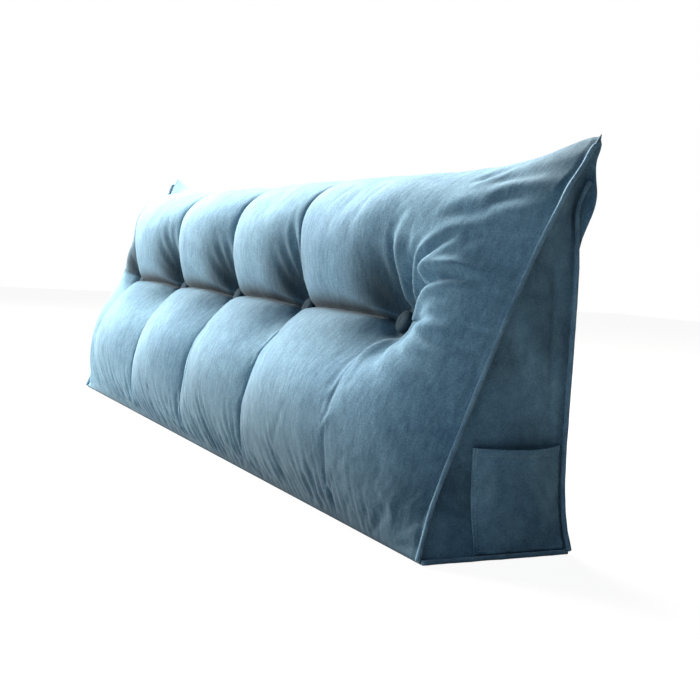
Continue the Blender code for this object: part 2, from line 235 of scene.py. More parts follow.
def spacedPlaces(low, high, spots, coarse, fine, reach):
    # places from low to high that stand closer together near the spots, measured out on a much denser row
    dense = np.linspace(low, high, denseCount)
    nearest = np.min(np.abs(dense[:, None] - np.array(spots)[None, :]), axis=1)
    pitch = coarse - (coarse - fine) * np.exp(-((nearest / reach) ** 2))
    count = np.concatenate(([0], np.cumsum(np.diff(dense) / pitch[1:])))
    return np.interp(np.linspace(0, count[-1], int(round(count[-1])) + 1), count, dense)


def ripple(at, period, seed):
    # an uneven wave along one axis, made of a few sines, from about -1 to 1
    total = np.zeros_like(at)
    for k, (shortness, weight) in enumerate(rippleSines):
        phase = seed * (k + 1) * 1.7 + k
        total += weight * np.sin(2 * math.pi * at * shortness / period + phase)
    return total


def crossedRipple(across, up, periods, leans, seeds):
    # two uneven waves that cross each other, each leaning a little
    wide = ripple(across + leans[0] * up, periods[0], seeds[0])
    return wide * ripple(up - leans[1] * across, periods[1], seeds[1])


def endRise(x, rounding):
    # how much of the crown is left this near to an end
    inward = np.clip((halfLength - np.abs(x)) / rounding, 0, 1)
    return np.sin(inward * math.pi / 2) ** cover["endFullness"]


def frontRounding(x, share):
    # the length over which the front's crown sinks, longer at the foot and the top of the right end
    more = cover["lowRightRounding"] * ease(share, *cover["lowRightShares"])
    more = more + cover["highRightRounding"] * ease(share, *cover["highRightShares"])
    return cover["endRounding"] + more * (x > 0)


def earShare(x):
    return np.clip((np.abs(x) - halfLength + cover["earReach"]) / cover["earReach"], 0, 1) ** 2


def creaseDepth(x, share):
    # how deep the upright crease of the nearest button's line is at a share
    nearest = np.argmin(np.abs(x[..., None] - np.array(buttonXs)), axis=-1)
    line = tuftLines[nearest]
    above = share > cover["buttonShare"]
    fadeAbove = smooth((line[..., 4] - share) / cover["creaseFadeAbove"])
    fadeBelow = smooth((share - line[..., 5]) / cover["creaseFadeBelow"])
    return np.where(above, line[..., 2] * fadeAbove, line[..., 3] * fadeBelow)


def rowReach(x):
    # the crosswise crease runs from the first button to the last and fades past them
    return smooth((buttonXs[-1] + cover["rowFade"] - np.abs(x)) / cover["rowFade"])


def lobeHeight(x, share, away, nearest):
    # the front's height between the buttons, with the tufting's valleys and creases
    above = blendAt(share, cover["buttonShare"], cover["aboveBlend"])
    left = 1 - (1 - tuftLines[nearest, 6]) * ease(share, *cover["valleyTopShares"])
    strength = tuftLines[nearest, 0] * above * left + tuftLines[nearest, 1] * (1 - above)
    shares = frontProfile[:, 0]
    past = blendAt(np.abs(x), buttonXs[-1], cover["endBlend"])
    full = curveThrough(shares, frontProfile[:, 2], share) * (1 - past)
    full = full + curveThrough(shares, frontProfile[:, 4], share) * past
    onLine = curveThrough(shares, frontProfile[:, 3], share)
    valley = (1 - np.clip(away / (buttonGap / 2), 0, 1)) ** cover["valleySharpness"]
    height = full - (full - onLine) * valley * strength
    height = height - creaseDepth(x, share) * np.exp(-away / cover["creaseWidth"])
    fromRow = np.abs(share - cover["buttonShare"]) * slant
    height = height - cover["rowCreaseDepth"] * rowReach(x) * np.exp(-fromRow / cover["rowCreaseWidth"])
    droop = np.minimum(0, height) * (1 - earShare(x))
    height = np.maximum(0, height) * endRise(x, frontRounding(x, share)) + droop
    lowering = cover["leftEndLowering"] + cover["leftTopLowering"] * ease(share, *cover["leftTopShares"])
    return height * (1 - lowering * smooth((buttonXs[0] - x) / cover["leftEndRun"]))


def coneHeight(x, share, fromButton, nearest):
    # the cloth runs down to each button as a cone, steep on its right and widest past the last button
    above = blendAt(share, cover["buttonShare"], cover["aboveBlend"])
    steepness = cover["coneBelow"] + (cover["coneAbove"] - cover["coneBelow"]) * above
    toRight = blendAt(x, np.array(buttonXs)[nearest], cover["coneRightBlend"])
    steepness = steepness + (cover["coneRight"] - steepness) * toRight
    pastLast = blendAt(x, buttonXs[-1], cover["coneEndBlend"])
    steepness = steepness + (cover["coneEnd"] - steepness) * pastLast
    beyond = np.maximum(0, fromButton - cover["seatRadius"])
    cone = cover["seatHeight"] + steepness * beyond + cover["coneFlare"] * beyond**2
    cone = cone + cover["throatDepth"] * (1 - pastLast) * (1 - np.exp(-beyond / cover["throatReach"]))
    return cone + cover["coneEndSlope"] * pastLast * np.abs(share - cover["buttonShare"]) * slant


def frontHeight(x, share):
    # the front's height over the straight slant: the lower of lobe and cone, with the buttons' flat seats
    offsets = np.abs(x[..., None] - np.array(buttonXs))
    nearest = np.argmin(offsets, axis=-1)
    away = np.min(offsets, axis=-1)
    fromButton = np.hypot(away, (share - cover["buttonShare"]) * slant)
    height = lobeHeight(x, share, away, nearest)
    cone = coneHeight(x, share, fromButton, nearest)
    soft = cover["coneSoftness"]
    least = np.minimum(height, cone)
    height = least - soft * np.log(np.exp((least - height) / soft) + np.exp((least - cone) / soft))
    seat = 1 - ease(fromButton, cover["seatRadius"], cover["seatBlend"])
    return height + (cover["seatHeight"] - height) * seat


def frontPlace(x, share):
    ear = earShare(x)
    up = curveThrough(frontProfile[:, 0], frontProfile[:, 1], share) * ear + share * (1 - ear)
    height = frontHeight(x, share)
    y = frontFoot[0] + along[0] * up * slant + outward[0] * height
    z = frontFoot[1] + along[1] * up * slant + outward[1] * height
    inset = halfLength - np.abs(x)
    tip = ease(z, *cover["tipHeights"]) * ease(inset, *cover["tipInsets"])
    blunt = falloff(inset, cover["bluntWidth"]) * ease(z, *cover["bluntHeights"])
    lift = cover["leftEarLift"] * ease(z, *cover["liftHeights"]) * ear * (x < 0)
    return y + cover["earSetBack"] * tip, z + lift - cover["earBlunting"] * blunt


def backPlace(x, share):
    topY, topZ = frontPlace(x, np.full_like(x, topShare))
    y = topY + (rearFoot[0] - topY) * share
    z = topZ + (rearFoot[1] - topZ) * share
    bulge = np.sin(np.clip(share, 0, 1) * math.pi) ** cover["backFullness"]
    crown = cover["backCrown"] * bulge * endRise(x, cover["endRounding"])
    lip = falloff(z - cover["lipHeight"], cover["lipSpan"])
    lip = lip * falloff(np.abs(x) - cover["lipX"], cover["lipWidth"])
    plump = cover["earPlump"] * ease(z, *cover["plumpHeights"]) * ease(np.abs(x), *cover["plumpXs"])
    return y + crown + cover["lipDepth"] * lip + plump * ease(share, *cover["plumpShares"]), z


def basePlace(share):
    edge = halfDepth - cover["setBack"] - cover["chamfer"]
    y = edge * (1 - 2 * share)
    return y, np.zeros_like(share)


def drawIn(x, y, z, isFront):
    # how far the seams draw a place in towards the middle
    column = np.where(isFront, np.where(x > 0, 1, 3), 2)
    heights = endDrawIn[:, 0]
    amounts = np.stack([curveThrough(heights, endDrawIn[:, k], z) for k in (1, 2, 3)], axis=-1)
    amount = np.take_along_axis(amounts, (column - 1)[..., None], axis=-1)[..., 0]
    onBase = ~isFront & (z <= cover["chamfer"] + 1e-6)
    acrossBase = np.clip((y + halfDepth) / cover["baseDepth"], 0, 1)
    cornerAmount = np.where(x > 0, endDrawIn[0, 1], endDrawIn[0, 3])
    amount = np.where(onBase, cornerAmount * (1 - acrossBase) ** 2, amount)
    underLip = falloff(z - cover["lipHeight"], cover["lipSpan"])
    narrowed = (cover["rearDrawLength"] - cover["lipWidth"]) * underLip
    reach = np.where(isFront, cover["frontDrawLength"], cover["rearDrawLength"] - narrowed)
    nearness = np.clip(1 - (halfLength - np.abs(x)) / reach, 0, 1)
    return np.sign(x) * amount * nearness**2


# The cover's net: one closed loop of rows round the pillow at every column
net = {
    "columnPitch": 0.0040,
    "frontPitch": 0.0040,
    "creasePitch": 0.0019,
    "creaseReach": 0.012,
    "backPitch": 0.0160,
    "backLength": 0.44,
    "backFinePitch": 0.011,
    "backFineShares": (0.0, 0.12),
    "backFineReach": 0.10,
    "baseRows": 6,
    "panelPitch": 0.0036,
    "panelStart": (0.2, 0.7),
    "panelStagger": 0.5,
    "panelClearance": 0.55,
}


def coverNet(scale):
    # columns, and rows as (share, part) with part 0 the front, 1 the back, 2 the base and 3 the rear foot
    fine = net["creasePitch"] * scale
    reach = net["creaseReach"] * scale
    spots = [*buttonXs, -halfLength, halfLength]
    columns = spacedPlaces(-halfLength, halfLength, spots, net["columnPitch"] * scale, fine, reach)
    top = topShare * slant
    spots = [cover["buttonShare"] * slant, 0, top]
    front = spacedPlaces(0, top, spots, net["frontPitch"] * scale, fine, reach) / slant
    coarse = net["backPitch"] * scale / net["backLength"]
    fine = net["backFinePitch"] * scale
    back = spacedPlaces(0, 1, net["backFineShares"], coarse, fine, net["backFineReach"])[1:-1]
    base = np.linspace(0, 1, net["baseRows"])
    rows = [(share, 0) for share in front] + [(share, 1) for share in back]
    rows += [(-1.0, 3)] + [(share, 2) for share in base]
    return columns, np.array([row[0] for row in rows]), np.array([row[1] for row in rows])


def coverPoints(columns, shares, parts):
    x = np.repeat(columns[:, None], len(shares), axis=1)
    share = np.repeat(shares[None, :], len(columns), axis=0)
    isFront = np.repeat((parts == 0)[None, :], len(columns), axis=0)
    frontY, frontZ = frontPlace(x, np.clip(share, 0, topShare))
    backY, backZ = backPlace(x, np.clip(share, 0, 1))
    baseY, baseZ = basePlace(np.clip(share, 0, 1))
    y = np.choose(parts[None, :], [frontY, backY, baseY, np.full_like(x, rearFoot[0])])
    z = np.choose(parts[None, :], [frontZ, backZ, baseZ, np.full_like(x, rearFoot[1])])
    x = x - drawIn(x, y, z, isFront)
    return np.stack([x, y, z], axis=-1)


def endPanelX(y, z, side):
    # where an end panel lies between its front and rear seams
    frontY = frontFoot[0] + (earTop[0] - frontFoot[0]) * z / cover["earHeight"]
    across = np.clip((y - frontY) / np.maximum(0.001, rearFoot[0] - frontY), 0, 1)
    atFront = curveThrough(endDrawIn[:, 0], endDrawIn[:, 1 if side > 0 else 3], z)
    atRear = curveThrough(endDrawIn[:, 0], endDrawIn[:, 2], z)
    return side * (halfLength - atFront * (1 - across) - atRear * across)


def panelFaces(loop, pitch):
    # fills one end's seam loop, given as (y, z), with a net of triangles
    low = loop.min(axis=0)
    high = loop.max(axis=0)
    zs = np.arange(low[1] + pitch * net["panelStart"][1], high[1], pitch)
    ys = np.arange(low[0] + pitch * net["panelStart"][0], high[0], pitch)
    shift = pitch * net["panelStagger"]
    grid = np.array([(y + shift * (row % 2), z) for row, z in enumerate(zs) for y in ys])
    nextLoop = np.roll(loop, -1, axis=0)
    rise = np.where(nextLoop[:, 1] == loop[:, 1], 1e-9, nextLoop[:, 1] - loop[:, 1])
    above = (loop[None, :, 1] > grid[:, None, 1]) != (nextLoop[None, :, 1] > grid[:, None, 1])
    edgeY = (nextLoop[:, 0] - loop[:, 0]) / rise * (grid[:, None, 1] - loop[:, 1]) + loop[:, 0]
    crossings = (above & (grid[:, None, 0] < edgeY)).sum(axis=1)
    fromSeam = np.min(np.hypot(*(grid[:, None, :] - loop[None, :, :]).transpose(2, 0, 1)), axis=1)
    kept = (crossings % 2 == 1) & (fromSeam > pitch * net["panelClearance"])
    inside = grid[kept]
    places = [Vector(place) for place in (*map(tuple, loop), *map(tuple, inside))]
    edges = [(k, (k + 1) % len(loop)) for k in range(len(loop))]
    made = delaunay_2d_cdt(places, edges, [], 1, 1e-7)
    faces = [[made[3][k][0] for k in face] for face in made[2]]
    return inside, fromSeam[kept], faces


# The end panels: a stitched groove inside the seams, soft dents, and a slack fold along the rear seam
panel = {
    "grooveDepth": 0.0016,
    "grooveFrom": 0.0050,
    "grooveWidth": 0.0026,
    "dentDepth": 0.0011,
    "dentPeriods": (0.085, 0.13),
    "dentLeans": (0.4, 0.3),
    "wrinkleDepth": 0.0006,
    "wrinklePeriods": (0.030, 0.052),
    "wrinkleLeans": (0.9, 1.0),
    "rearFoldDepth": 0.0032,
    "rearFoldFrom": 0.0150,
    "rearFoldLean": 0.03,
    "rearFoldWidth": 0.0045,
    "rearFoldTop": (0.36, -0.06),
    "rearFoldFoot": (0.14, 0.10),
    "calmEdge": 0.010,
}


def panelRelief(y, z, fromSeam, side):
    # how far the panel's cloth lies inside its plain form
    groove = panel["grooveDepth"] * falloff(fromSeam - panel["grooveFrom"], panel["grooveWidth"])
    seeds = (side * 0.7, side + 1.9)
    dents = panel["dentDepth"] * crossedRipple(y, z, panel["dentPeriods"], panel["dentLeans"], seeds)
    seeds = (3.1, side + 0.4)
    wrinkles = crossedRipple(y, z, panel["wrinklePeriods"], panel["wrinkleLeans"], seeds)
    wrinkles = panel["wrinkleDepth"] * wrinkles
    fromFold = rearFoot[0] - y - panel["rearFoldFrom"] - panel["rearFoldLean"] * z
    rearFold = panel["rearFoldDepth"] * falloff(fromFold, panel["rearFoldWidth"])
    rearFold = rearFold * ease(z, *panel["rearFoldTop"]) * ease(z, *panel["rearFoldFoot"])
    calm = smooth(fromSeam / panel["calmEdge"])
    return groove + (dents + wrinkles + rearFold) * calm


def finishPiece(name, mesh):
    # turns the faces outwards and puts the mesh in the scene
    bm = bmesh.new()
    bm.from_mesh(mesh)
    bmesh.ops.recalc_face_normals(bm, faces=bm.faces)
    bm.to_mesh(mesh)
    bm.free()
    mesh.shade_smooth()
    made = bpy.data.objects.new(name, mesh)
    bpy.context.scene.collection.objects.link(made)
    return made


def buildCover(name, scale):
    columns, shares, parts = coverNet(scale)
    points = coverPoints(columns, shares, parts)
    rowCount = len(shares)
    vertices = [tuple(point) for point in points.reshape(-1, 3)]
    faces = []
    for c in range(len(columns) - 1):
        for r in range(rowCount):
            below = (r + 1) % rowCount
            left = c * rowCount
            right = left + rowCount
            faces.append((left + r, right + r, right + below, left + below))
    for side, column in ((-1, 0), (1, len(columns) - 1)):
        loop = points[column][:, 1:]
        inside, fromSeam, triangles = panelFaces(loop, net["panelPitch"] * scale)
        start = len(vertices) - rowCount
        onLoop = column * rowCount
        xs = endPanelX(inside[:, 0], inside[:, 1], side)
        xs = xs - side * panelRelief(inside[:, 0], inside[:, 1], fromSeam, side)
        vertices += [(x, y, z) for x, (y, z) in zip(xs, inside)]
        for triangle in triangles:
            faces.append([onLoop + k if k < rowCount else start + k for k in triangle])
    mesh = bpy.data.meshes.new(name)
    mesh.from_pydata(vertices, [], faces)
    return finishPiece(name, mesh), columns, shares, parts, points


# Filling: a coarser copy of the cover is blown up by cloth simulation, held at its seams and tufting, and
# the movement is carried over to the fine cover
filling = {
    "scale": 1.75,
    "pressure": 3.0,
    "frames": 24,
    "mostMove": 0.011,
    "leastSlack": 0.012,
    "mostSlack": 0.045,
    "mass": 0.25,
    "tension": 14.0,
    "bending": 0.25,
    "pinStiffness": 2.0,
    "linePin": 45.0,
    "mostLinePin": 0.9,
    "lineWidth": 0.006,
    "rowPin": 0.85,
    "rowWidth": 0.004,
    "seatWidth": 0.010,
    "seamWidth": 0.004,
    "leastWeight": 0.01,
    "looseShares": (0.26, -0.16),
    "smoothOver": 0.035,
    "smoothing": 0.85,
    "smoothShares": (0.26, 0.12),
}


def pinWeights(columns, shares, parts):
    # how firmly each point of the net is held: at the seams, the buttons, and along the creases
    x = np.repeat(columns[:, None], len(shares), axis=1)
    share = np.repeat(shares[None, :], len(columns), axis=0)
    isFront = np.repeat((parts == 0)[None, :], len(columns), axis=0)
    away = np.min(np.abs(x[..., None] - np.array(buttonXs)), axis=-1)
    fromRow = np.abs(share - cover["buttonShare"]) * slant
    firmness = np.minimum(filling["mostLinePin"], filling["linePin"] * creaseDepth(x, share))
    pins = firmness * falloff(away, filling["lineWidth"])
    pins = np.maximum(pins, filling["rowPin"] * rowReach(x) * falloff(fromRow, filling["rowWidth"]))
    fromButton = np.hypot(away, fromRow)
    pins = np.maximum(pins, 1 - ease(fromButton, cover["seatRadius"], filling["seatWidth"]))
    seams = np.minimum(share * slant, (topShare - share) * slant)
    seams = np.minimum(seams, halfLength - np.abs(x))
    pins = np.maximum(pins, falloff(seams, filling["seamWidth"]))
    return np.where(isFront, np.clip(pins, 0, 1), 1.0)


def weighGroup(cloth, name, weights):
    group = cloth.vertex_groups.new(name=name)
    for number, weight in enumerate(weights.ravel()):
        if weight > filling["leastWeight"]:
            group.add([number], float(weight), "REPLACE")
    return group


def fillCover():
    copy, columns, shares, parts, points = buildCover("fillingCover", filling["scale"])
    pins = pinWeights(columns, shares, parts)
    held = weighGroup(copy, "held", pins)
    held.add(list(range(pins.size, len(copy.data.vertices))), 1.0, "REPLACE")
    share = np.repeat(shares[None, :], len(columns), axis=0)
    weighGroup(copy, "loose", ease(share, *filling["looseShares"]))
    cloth = copy.modifiers.new("cloth", "CLOTH")
    settings = cloth.settings
    settings.quality = 6
    settings.mass = filling["mass"]
    settings.tension_stiffness = filling["tension"]
    settings.compression_stiffness = filling["tension"]
    settings.shear_stiffness = filling["tension"] / 2
    settings.bending_stiffness = filling["bending"]
    settings.shrink_min = -filling["leastSlack"]
    settings.shrink_max = -filling["mostSlack"]
    settings.vertex_group_shrink = "loose"
    settings.use_pressure = True
    settings.uniform_pressure_force = filling["pressure"]
    settings.vertex_group_mass = "held"
    settings.pin_stiffness = filling["pinStiffness"]
    settings.effector_weights.gravity = 0
    cloth.collision_settings.use_collision = False
    cloth.point_cache.frame_start = 1
    cloth.point_cache.frame_end = filling["frames"]
    scene = bpy.context.scene
    for number in range(1, filling["frames"] + 1):
        scene.frame_set(number)
    filled = copy.evaluated_get(bpy.context.evaluated_depsgraph_get())
    places = np.zeros(len(copy.data.vertices) * 3)
    filled.data.vertices.foreach_get("co", places)
    scene.frame_set(1)
    moved = places.reshape(-1, 3)[:points.size // 3].reshape(points.shape) - points
    bpy.data.objects.remove(copy, do_unlink=True)
    size = np.linalg.norm(moved, axis=-1, keepdims=True)
    print("filling moved the cloth by up to", round(float(size.max()) * 1000, 1), "mm")
    moved = moved * np.minimum(1, filling["mostMove"] / np.maximum(size, 1e-9))
    near = falloff(columns[:, None] - columns[None, :], filling["smoothOver"])
    near = near * np.gradient(columns)[None, :]
    evened = np.tensordot(near / near.sum(axis=1, keepdims=True), moved, axes=1)
    even = filling["smoothing"] * ease(shares, *filling["smoothShares"])
    return columns, shares, parts, moved + (evened - moved) * even[None, :, None]


def carriedMove(columns, shares, parts, filledMove):
    # the filling's movement of the coarse net, at the places of the fine one
    coarseColumns, coarseShares, coarseParts, moved = filledMove
    front = moved[:, coarseParts == 0]
    acrossRows = curveThrough(coarseColumns, front, columns)
    upRows = curveThrough(coarseShares[coarseParts == 0], np.swapaxes(acrossRows, 0, 1), shares[parts == 0])
    carried = np.zeros((len(columns), len(shares), 3))
    carried[:, parts == 0] = np.swapaxes(upRows, 0, 1)
    return carried


# Folds pressed into the filled cover along its own normals: those that run out from the buttons, the
# wrinkles near the ears, the gathers along the bottom seam, the stitched groove beside the end seams, and
# a slight unevenness
creases = {
    "ridge": 0.30,
    "ridgeAt": 2.0,
    "troughSharpness": 1.8,
    "startDepth": 0.3,
    "leadIn": 0.22,
    "fadeOut": 0.75,
    "gatherMargin": 0.05,
    "gatherPitch": 0.021,
    "gatherJitter": 0.8,
    "gatherStart": 0.012,
    "gatherReach": 0.17,
    "gatherReaches": (0.45, 0.75),
    "gatherLean": -0.10,
    "gatherBow": 0.004,
    "gatherDepth": 0.0022,
    "gatherDepths": (0.5, 0.9),
    "gatherWidth": 0.0034,
    "gatherWidths": (0.8, 0.6),
    "grooveDepth": 0.0018,
    "grooveFrom": 0.0070,
    "grooveWidth": 0.0030,
    "unevenDepth": 0.0008,
    "unevenPeriods": (0.075, 0.11),
    "unevenLeans": (0.4, 0.3),
    "unevenSeeds": (0.3, 1.1),
    "calmRows": 0.012,
    "calmEnds": 0.010,
    "calmSeat": (-0.002, 0.010),
}
foldLines = (
    # x and share where it starts, x and share where it ends, sideways bow, depth, half width
    (0.562, 0.520, 0.574, 0.760, 0.016, 0.0044, 0.0056),
    (0.574, 0.508, 0.622, 0.690, 0.009, 0.0086, 0.0056),
    (0.580, 0.506, 0.674, 0.724, 0.009, 0.0112, 0.0062),
    (0.584, 0.500, 0.668, 0.606, 0.013, 0.0185, 0.0070),
    (0.618, 0.556, 0.705, 0.606, 0.006, 0.0160, 0.0066),
    (0.655, 0.590, 0.730, 0.606, 0.002, 0.0064, 0.0060),
    (0.604, 0.512, 0.728, 0.560, 0.006, 0.0046, 0.0080),
    (0.605, 0.486, 0.728, 0.508, 0.003, 0.0050, 0.0080),
    (0.600, 0.466, 0.722, 0.446, -0.004, 0.0044, 0.0085),
    (0.590, 0.456, 0.712, 0.366, -0.006, 0.0046, 0.0090),
    (0.575, 0.450, 0.640, 0.300, -0.006, 0.0040, 0.0088),
    (0.552, 0.528, 0.505, 0.650, -0.006, 0.0022, 0.0075),
    (0.540, 0.515, 0.470, 0.570, -0.004, 0.0020, 0.0080),
    (0.277, 0.520, 0.258, 0.760, 0.006, 0.0066, 0.0066),
    (0.270, 0.520, 0.228, 0.690, 0.004, 0.0050, 0.0070),
    (0.264, 0.515, 0.200, 0.640, 0.003, 0.0040, 0.0075),
    (0.289, 0.520, 0.300, 0.680, -0.003, 0.0030, 0.0052),
    (-0.004, 0.520, -0.026, 0.680, 0.003, 0.0062, 0.0068),
    (-0.010, 0.520, -0.058, 0.680, 0.004, 0.0058, 0.0072),
    (-0.014, 0.515, -0.084, 0.630, 0.003, 0.0048, 0.0078),
    (0.008, 0.525, 0.020, 0.720, -0.002, 0.0034, 0.0055),
    (-0.286, 0.520, -0.308, 0.720, 0.004, 0.0074, 0.0072),
    (-0.290, 0.520, -0.336, 0.730, 0.004, 0.0070, 0.0078),
    (-0.294, 0.515, -0.364, 0.680, 0.003, 0.0058, 0.0082),
    (-0.298, 0.510, -0.372, 0.590, 0.002, 0.0030, 0.0070),
    (-0.564, 0.520, -0.590, 0.650, 0.003, 0.0040, 0.0065),
    (-0.570, 0.515, -0.622, 0.610, 0.002, 0.0036, 0.0070),
    (-0.576, 0.505, -0.660, 0.550, 0.002, 0.0032, 0.0070),
    (0.004, 0.440, 0.022, 0.060, 0.012, 0.0088, 0.0066),
    (0.026, 0.410, 0.050, 0.080, 0.010, 0.0062, 0.0066),
    (-0.276, 0.430, -0.262, 0.210, 0.008, 0.0030, 0.0090),
    (-0.555, 0.430, -0.545, 0.230, 0.006, 0.0030, 0.0090),
    (0.284, 0.430, 0.304, 0.190, 0.010, 0.0034, 0.0090),
    (0.300, 0.420, 0.335, 0.230, 0.008, 0.0022, 0.0090),
    (0.552, 0.430, 0.556, 0.230, 0.008, 0.0012, 0.0120),
    (0.650, 0.834, 0.748, 0.852, 0.002, 0.0044, 0.0080),
    (0.668, 0.780, 0.750, 0.812, 0.004, 0.0050, 0.0088),
    (0.622, 0.730, 0.735, 0.750, 0.006, 0.0034, 0.0095),
    (0.662, 0.690, 0.745, 0.726, 0.004, 0.0030, 0.0100),
    (0.630, 0.632, 0.732, 0.656, 0.004, 0.0014, 0.0085),
    (0.622, 0.825, 0.668, 0.885, 0.003, 0.0034, 0.0060),
    (-0.690, 0.796, -0.744, 0.840, 0.002, 0.0030, 0.0080),
    (-0.680, 0.740, -0.740, 0.760, 0.002, 0.0024, 0.0080),
    (0.470, 0.680, 0.505, 0.890, 0.004, 0.0011, 0.0070),
    (0.420, 0.720, 0.455, 0.890, 0.004, 0.0012, 0.0065),
    (0.380, 0.740, 0.405, 0.890, 0.003, 0.0010, 0.0070),
    (0.200, 0.740, 0.230, 0.890, 0.003, 0.0011, 0.0065),
    (0.150, 0.770, 0.172, 0.890, 0.003, 0.0010, 0.0065),
    (-0.080, 0.780, -0.062, 0.890, 0.003, 0.0010, 0.0065),
    (-0.350, 0.780, -0.335, 0.890, 0.003, 0.0010, 0.0065),
)


def foldRelief(x, up, fold):
    # the depth of one fold: a trough with a soft ridge on both sides, along a bowed line that fades at its
    # ends
    x0, share0, x1, share1, bow, depth, width = fold
    start = np.array((x0, share0 * slant))
    run = np.array((x1, share1 * slant)) - start
    length = np.linalg.norm(run)
    way = run / length
    t = ((x - start[0]) * way[0] + (up - start[1]) * way[1]) / length
    sideways = (up - start[1]) * way[0] - (x - start[0]) * way[1]
    away = np.abs(sideways - bow * 4 * t * (1 - t)) / width
    fade = smooth(t / creases["leadIn"] + creases["startDepth"]) * smooth((1 - t) / creases["fadeOut"])
    trough = np.exp(-(away ** creases["troughSharpness"]))
    ridge = creases["ridge"] * falloff(away - creases["ridgeAt"], 1.0)
    return depth * fade * (trough - ridge)


def scattered(k, turn, shift, spread):
    # a number from 0 to 1 that is uneven from one k to the next, and the same in each run
    return math.sin(k * turn + shift) * spread % 1


def varied(size, limits, part):
    least, more = limits
    return size * (least + more * part)


def gatherLines():
    # short folds that rise from the bottom seam, unevenly spaced and leaning with the tufting
    first = -halfLength + creases["gatherMargin"]
    count = int(-2 * first / creases["gatherPitch"])
    lines = []
    for k in range(count):
        jitter = scattered(k, 12.9898, 0.0, 43758.5453)
        other = scattered(k, 78.233, 2.0, 12543.371)
        x = first + (k + creases["gatherJitter"] * jitter) * creases["gatherPitch"]
        top = varied(creases["gatherReach"], creases["gatherReaches"], other)
        lean = creases["gatherLean"] * top * (0.5 + jitter)
        bow = creases["gatherBow"] * (other - 0.5)
        depth = varied(creases["gatherDepth"], creases["gatherDepths"], other)
        width = varied(creases["gatherWidth"], creases["gatherWidths"], jitter)
        lines.append((x, creases["gatherStart"], x + lean, top, bow, depth, width))
    return lines


def foldedFront(places, columns, shares):
    # the front's places after its folds, gathers, grooves and unevenness
    x = np.repeat(columns[:, None], len(shares), axis=1)
    share = np.repeat(shares[None, :], len(columns), axis=0)
    up = share * slant
    depth = np.zeros_like(x)
    for fold in (*foldLines, *gatherLines()):
        depth += foldRelief(x, up, fold)
    periods, leans, seeds = (creases[key] for key in ("unevenPeriods", "unevenLeans", "unevenSeeds"))
    uneven = creases["unevenDepth"] * crossedRipple(x, up, periods, leans, seeds)
    fromEnd = halfLength - np.abs(x)
    calm = smooth(up / creases["calmRows"]) * smooth((topShare * slant - up) / creases["calmRows"])
    calm = calm * smooth(fromEnd / creases["calmEnds"])
    away = np.min(np.abs(x[..., None] - np.array(buttonXs)), axis=-1)
    fromButton = np.hypot(away, up - cover["buttonShare"] * slant)
    calm = calm * ease(fromButton - cover["seatRadius"], *creases["calmSeat"])
    groove = falloff(fromEnd - creases["grooveFrom"], creases["grooveWidth"])
    depth = (depth + uneven) * calm + creases["grooveDepth"] * groove
    across = np.gradient(places, axis=0)
    upward = np.gradient(places, axis=1)
    normals = np.cross(across, upward)
    normals /= np.maximum(1e-12, np.linalg.norm(normals, axis=-1, keepdims=True))
    return places - normals * depth[..., None]


pillow, columns, shares, parts, points = buildCover("filledCover", 1.0)
print("cover built:", len(pillow.data.vertices), "points,", len(pillow.data.polygons), "faces")
places = points.copy()
places = places + carriedMove(columns, shares, parts, fillCover())
places[:, parts == 0] = foldedFront(places[:, parts == 0], columns, shares[parts == 0])
flat = np.array([vertex.co for vertex in pillow.data.vertices])
flat[:places.size // 3] = places.reshape(-1, 3)
pillow.data.vertices.foreach_set("co", flat.ravel())
pillow.data.update()
print("folds pressed in:", len(foldLines), "folds")

# Painted shade and pressed pile, both as a darker colour of the cloth. Round the buttons and in the creases
# (row, pit, line) it is partly pressed pile and partly painted shade; the soft patches on the end panels are
# pressed pile. The shade beside the buttons (flank), under the crosswise crease (below), at the foot and by
# the ears is painted shade, placed for the main view, and stays there in any light.
paintedShadeAndPile = {
    "row": 0.95,
    "rowWidth": 0.012,
    "rowSharpness": 1.5,
    "pit": 0.95,
    "pitWidth": 0.031,
    "below": 0.46,
    "belowWidth": 0.062,
    "rightEnd": 0.62,
    "rightEndXs": (0.61, 0.13),
    "rightEndShares": (0.74, 0.14),
    "leftEar": 0.50,
    "leftEarXs": (-0.60, -0.10),
    "leftEarShares": (0.70, 0.14),
    "foot": 0.52,
    "footXs": (-0.60, 1.10),
    "footShares": (0.34, -0.28),
    "flank": 0.90,
    "flankPlace": (-0.036, 0.022),
    "flankWidth": 0.054,
    "flankRise": 0.02,
    "line": 0.85,
    "lineWidth": 0.005,
    "panelPatch": 0.30,
    "panelPatchPeriods": (0.10, 0.14),
    "panelPatchLeans": (0.5, 0.4),
    "panelPatchContrast": 0.6,
}


